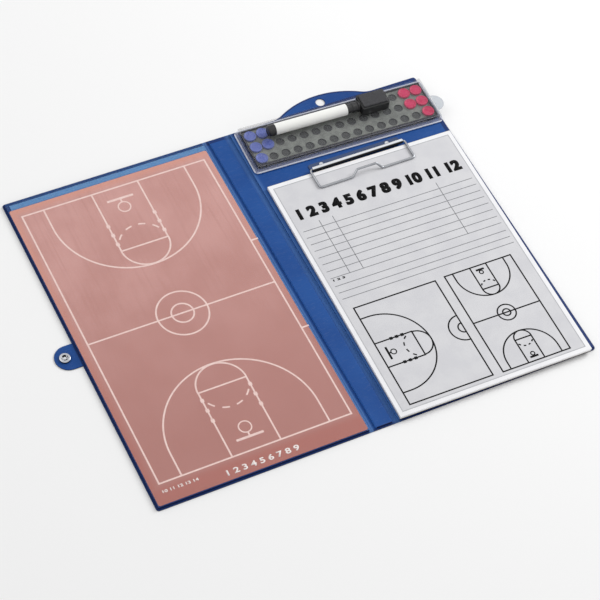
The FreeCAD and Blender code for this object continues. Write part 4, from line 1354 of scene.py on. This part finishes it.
# %% Counters
RIM = 1.1 * MM
DISH = 0.45 * MM
COUNTER_ROUND = 0.3
COUNTER_SIDES = 48
FACES_UP = 0.9


def solid_centres(node):
    """The middle of each separate solid in a node."""
    copy_node(node, "to_split")
    bpy.ops.object.mode_set(mode="EDIT")
    bpy.ops.mesh.separate(type="LOOSE")
    leave_edit()
    centres = []
    for solid in list(bpy.context.selected_objects):
        corners = [Vector(corner) for corner in solid.bound_box]
        centres.append(sum(corners, Vector()) / len(corners))
        bpy.data.objects.remove(solid)
    return sorted(centres, key=lambda centre: (centre.x, centre.y))


def counter_disc(radius, thick):
    """A counter with a rounded rim and a dished face, about the origin."""
    disc = primitive(bpy.ops.mesh.primitive_cylinder_add, "counter", vertices=COUNTER_SIDES,
                     radius=radius, depth=thick)
    pick(disc, lambda face: face.normal.z > FACES_UP, "faces")
    bpy.ops.mesh.inset(thickness=RIM)
    bpy.ops.mesh.inset(thickness=DISH)
    bpy.ops.transform.translate(value=(0, 0, -DISH))
    leave_edit()
    round_edges(disc, COUNTER_ROUND, segments=3)
    return disc


for node, slot in (("blue_counters", "counter_blue"), ("red_counters", "counter_red")):
    low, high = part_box(node)
    centres = solid_centres(node)
    model = counter_disc(centres[0].x - low.x, high.z - low.z)
    for at, centre in enumerate(centres, start=1):
        settle(copied(model, f"{slot}_{at}", centre), body_of(node), slot, node)
    bpy.data.objects.remove(model)

# %% [markdown]
# ## Marker
# The marker is a white tube with black mouldings at both ends and a cap that carries the eraser.
# The pieces keep their modelled form, with rounded ends.

# %% Marker pieces
MARKER_ROUND = 0.3
MARKER_LOOKS = {
    "marker_barrel": "marker_white", "marker_tail_plug": "marker_black",
    "marker_nib_holder": "marker_black", "marker_nib": "ink_fibre", "eraser_cap": "marker_black",
}
for node, slot in MARKER_LOOKS.items():
    dress(node, node + "_moulded", MARKER_ROUND, slot, segments=3)

# %% [markdown]
# Three moulded rings stand a little proud of the front sleeve, where fingers grip and the cap
# stops. Each is a short cylinder about the marker's axis, which is the way that the cap pulls off.

# %% Rings on the marker's sleeve
SLEEVE_RADIUS = 5.0
RING_SIDES = 64
RINGS = ((1.2, 0.7, 1.6), (7.2, 0.45, 2.4), (13.2, 0.7, 1.4))
slide = joint_axis("cap_pull").normalized()
case_turn = math.atan2(slide.y, slide.x)
low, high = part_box("marker_barrel")
barrel_radius = (high.z - low.z) / 2
barrel_span = (high.x - low.x) / 2 - barrel_radius * abs(math.sin(case_turn))
barrel_front = (low + high) / 2 + slide * (barrel_span / math.cos(case_turn))

for at, (ahead, proud, length) in enumerate(RINGS, start=1):
    ring = primitive(bpy.ops.mesh.primitive_cylinder_add, f"sleeve_ring_{at}", vertices=RING_SIDES,
                     radius=(SLEEVE_RADIUS + proud) * MM, depth=length * MM,
                     location=barrel_front + slide * (ahead * MM),
                     rotation=(0, math.pi / 2, case_turn))
    round_edges(ring, MARKER_ROUND, segments=3)
    settle(ring, "marker", "marker_black")

# %% [markdown]
# ## Eraser felt
# The felt is a pad of pressed fibre glued to the cap. It starts as a block, is rounded, cut into
# small faces and roughened with a cloud texture, so that its edge looks soft from close by.

# %% Eraser felt
FELT_ROUGH, FELT_LEVEL = 0.22 * MM, 0.75
FELT_GRAIN, FELT_FACE = 0.6 * MM, 0.45 * MM
FELT_ROUND = 0.4
felt = copy_node("eraser_felt", "eraser_felt_pad")
round_edges(felt, FELT_ROUND)
modify(felt, "REMESH", mode="VOXEL", voxel_size=FELT_FACE)
clouds = bpy.data.textures.new("felt_fibres", "CLOUDS")
clouds.noise_scale = FELT_GRAIN
modify(felt, "DISPLACE", texture=clouds, texture_coords="LOCAL", strength=FELT_ROUGH,
       mid_level=FELT_LEVEL)
shade(felt)
settle(felt, "marker_cap", "eraser_felt", "eraser_felt")

# %% [markdown]
# ## Measure and finish
# The dressed part may not outgrow the imported one, so both boxes are written down to compare.

# %% Write the dressed box and finish
low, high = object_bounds()
print("dressed box in mm", [round(side / MM, 1) for side in high - low])
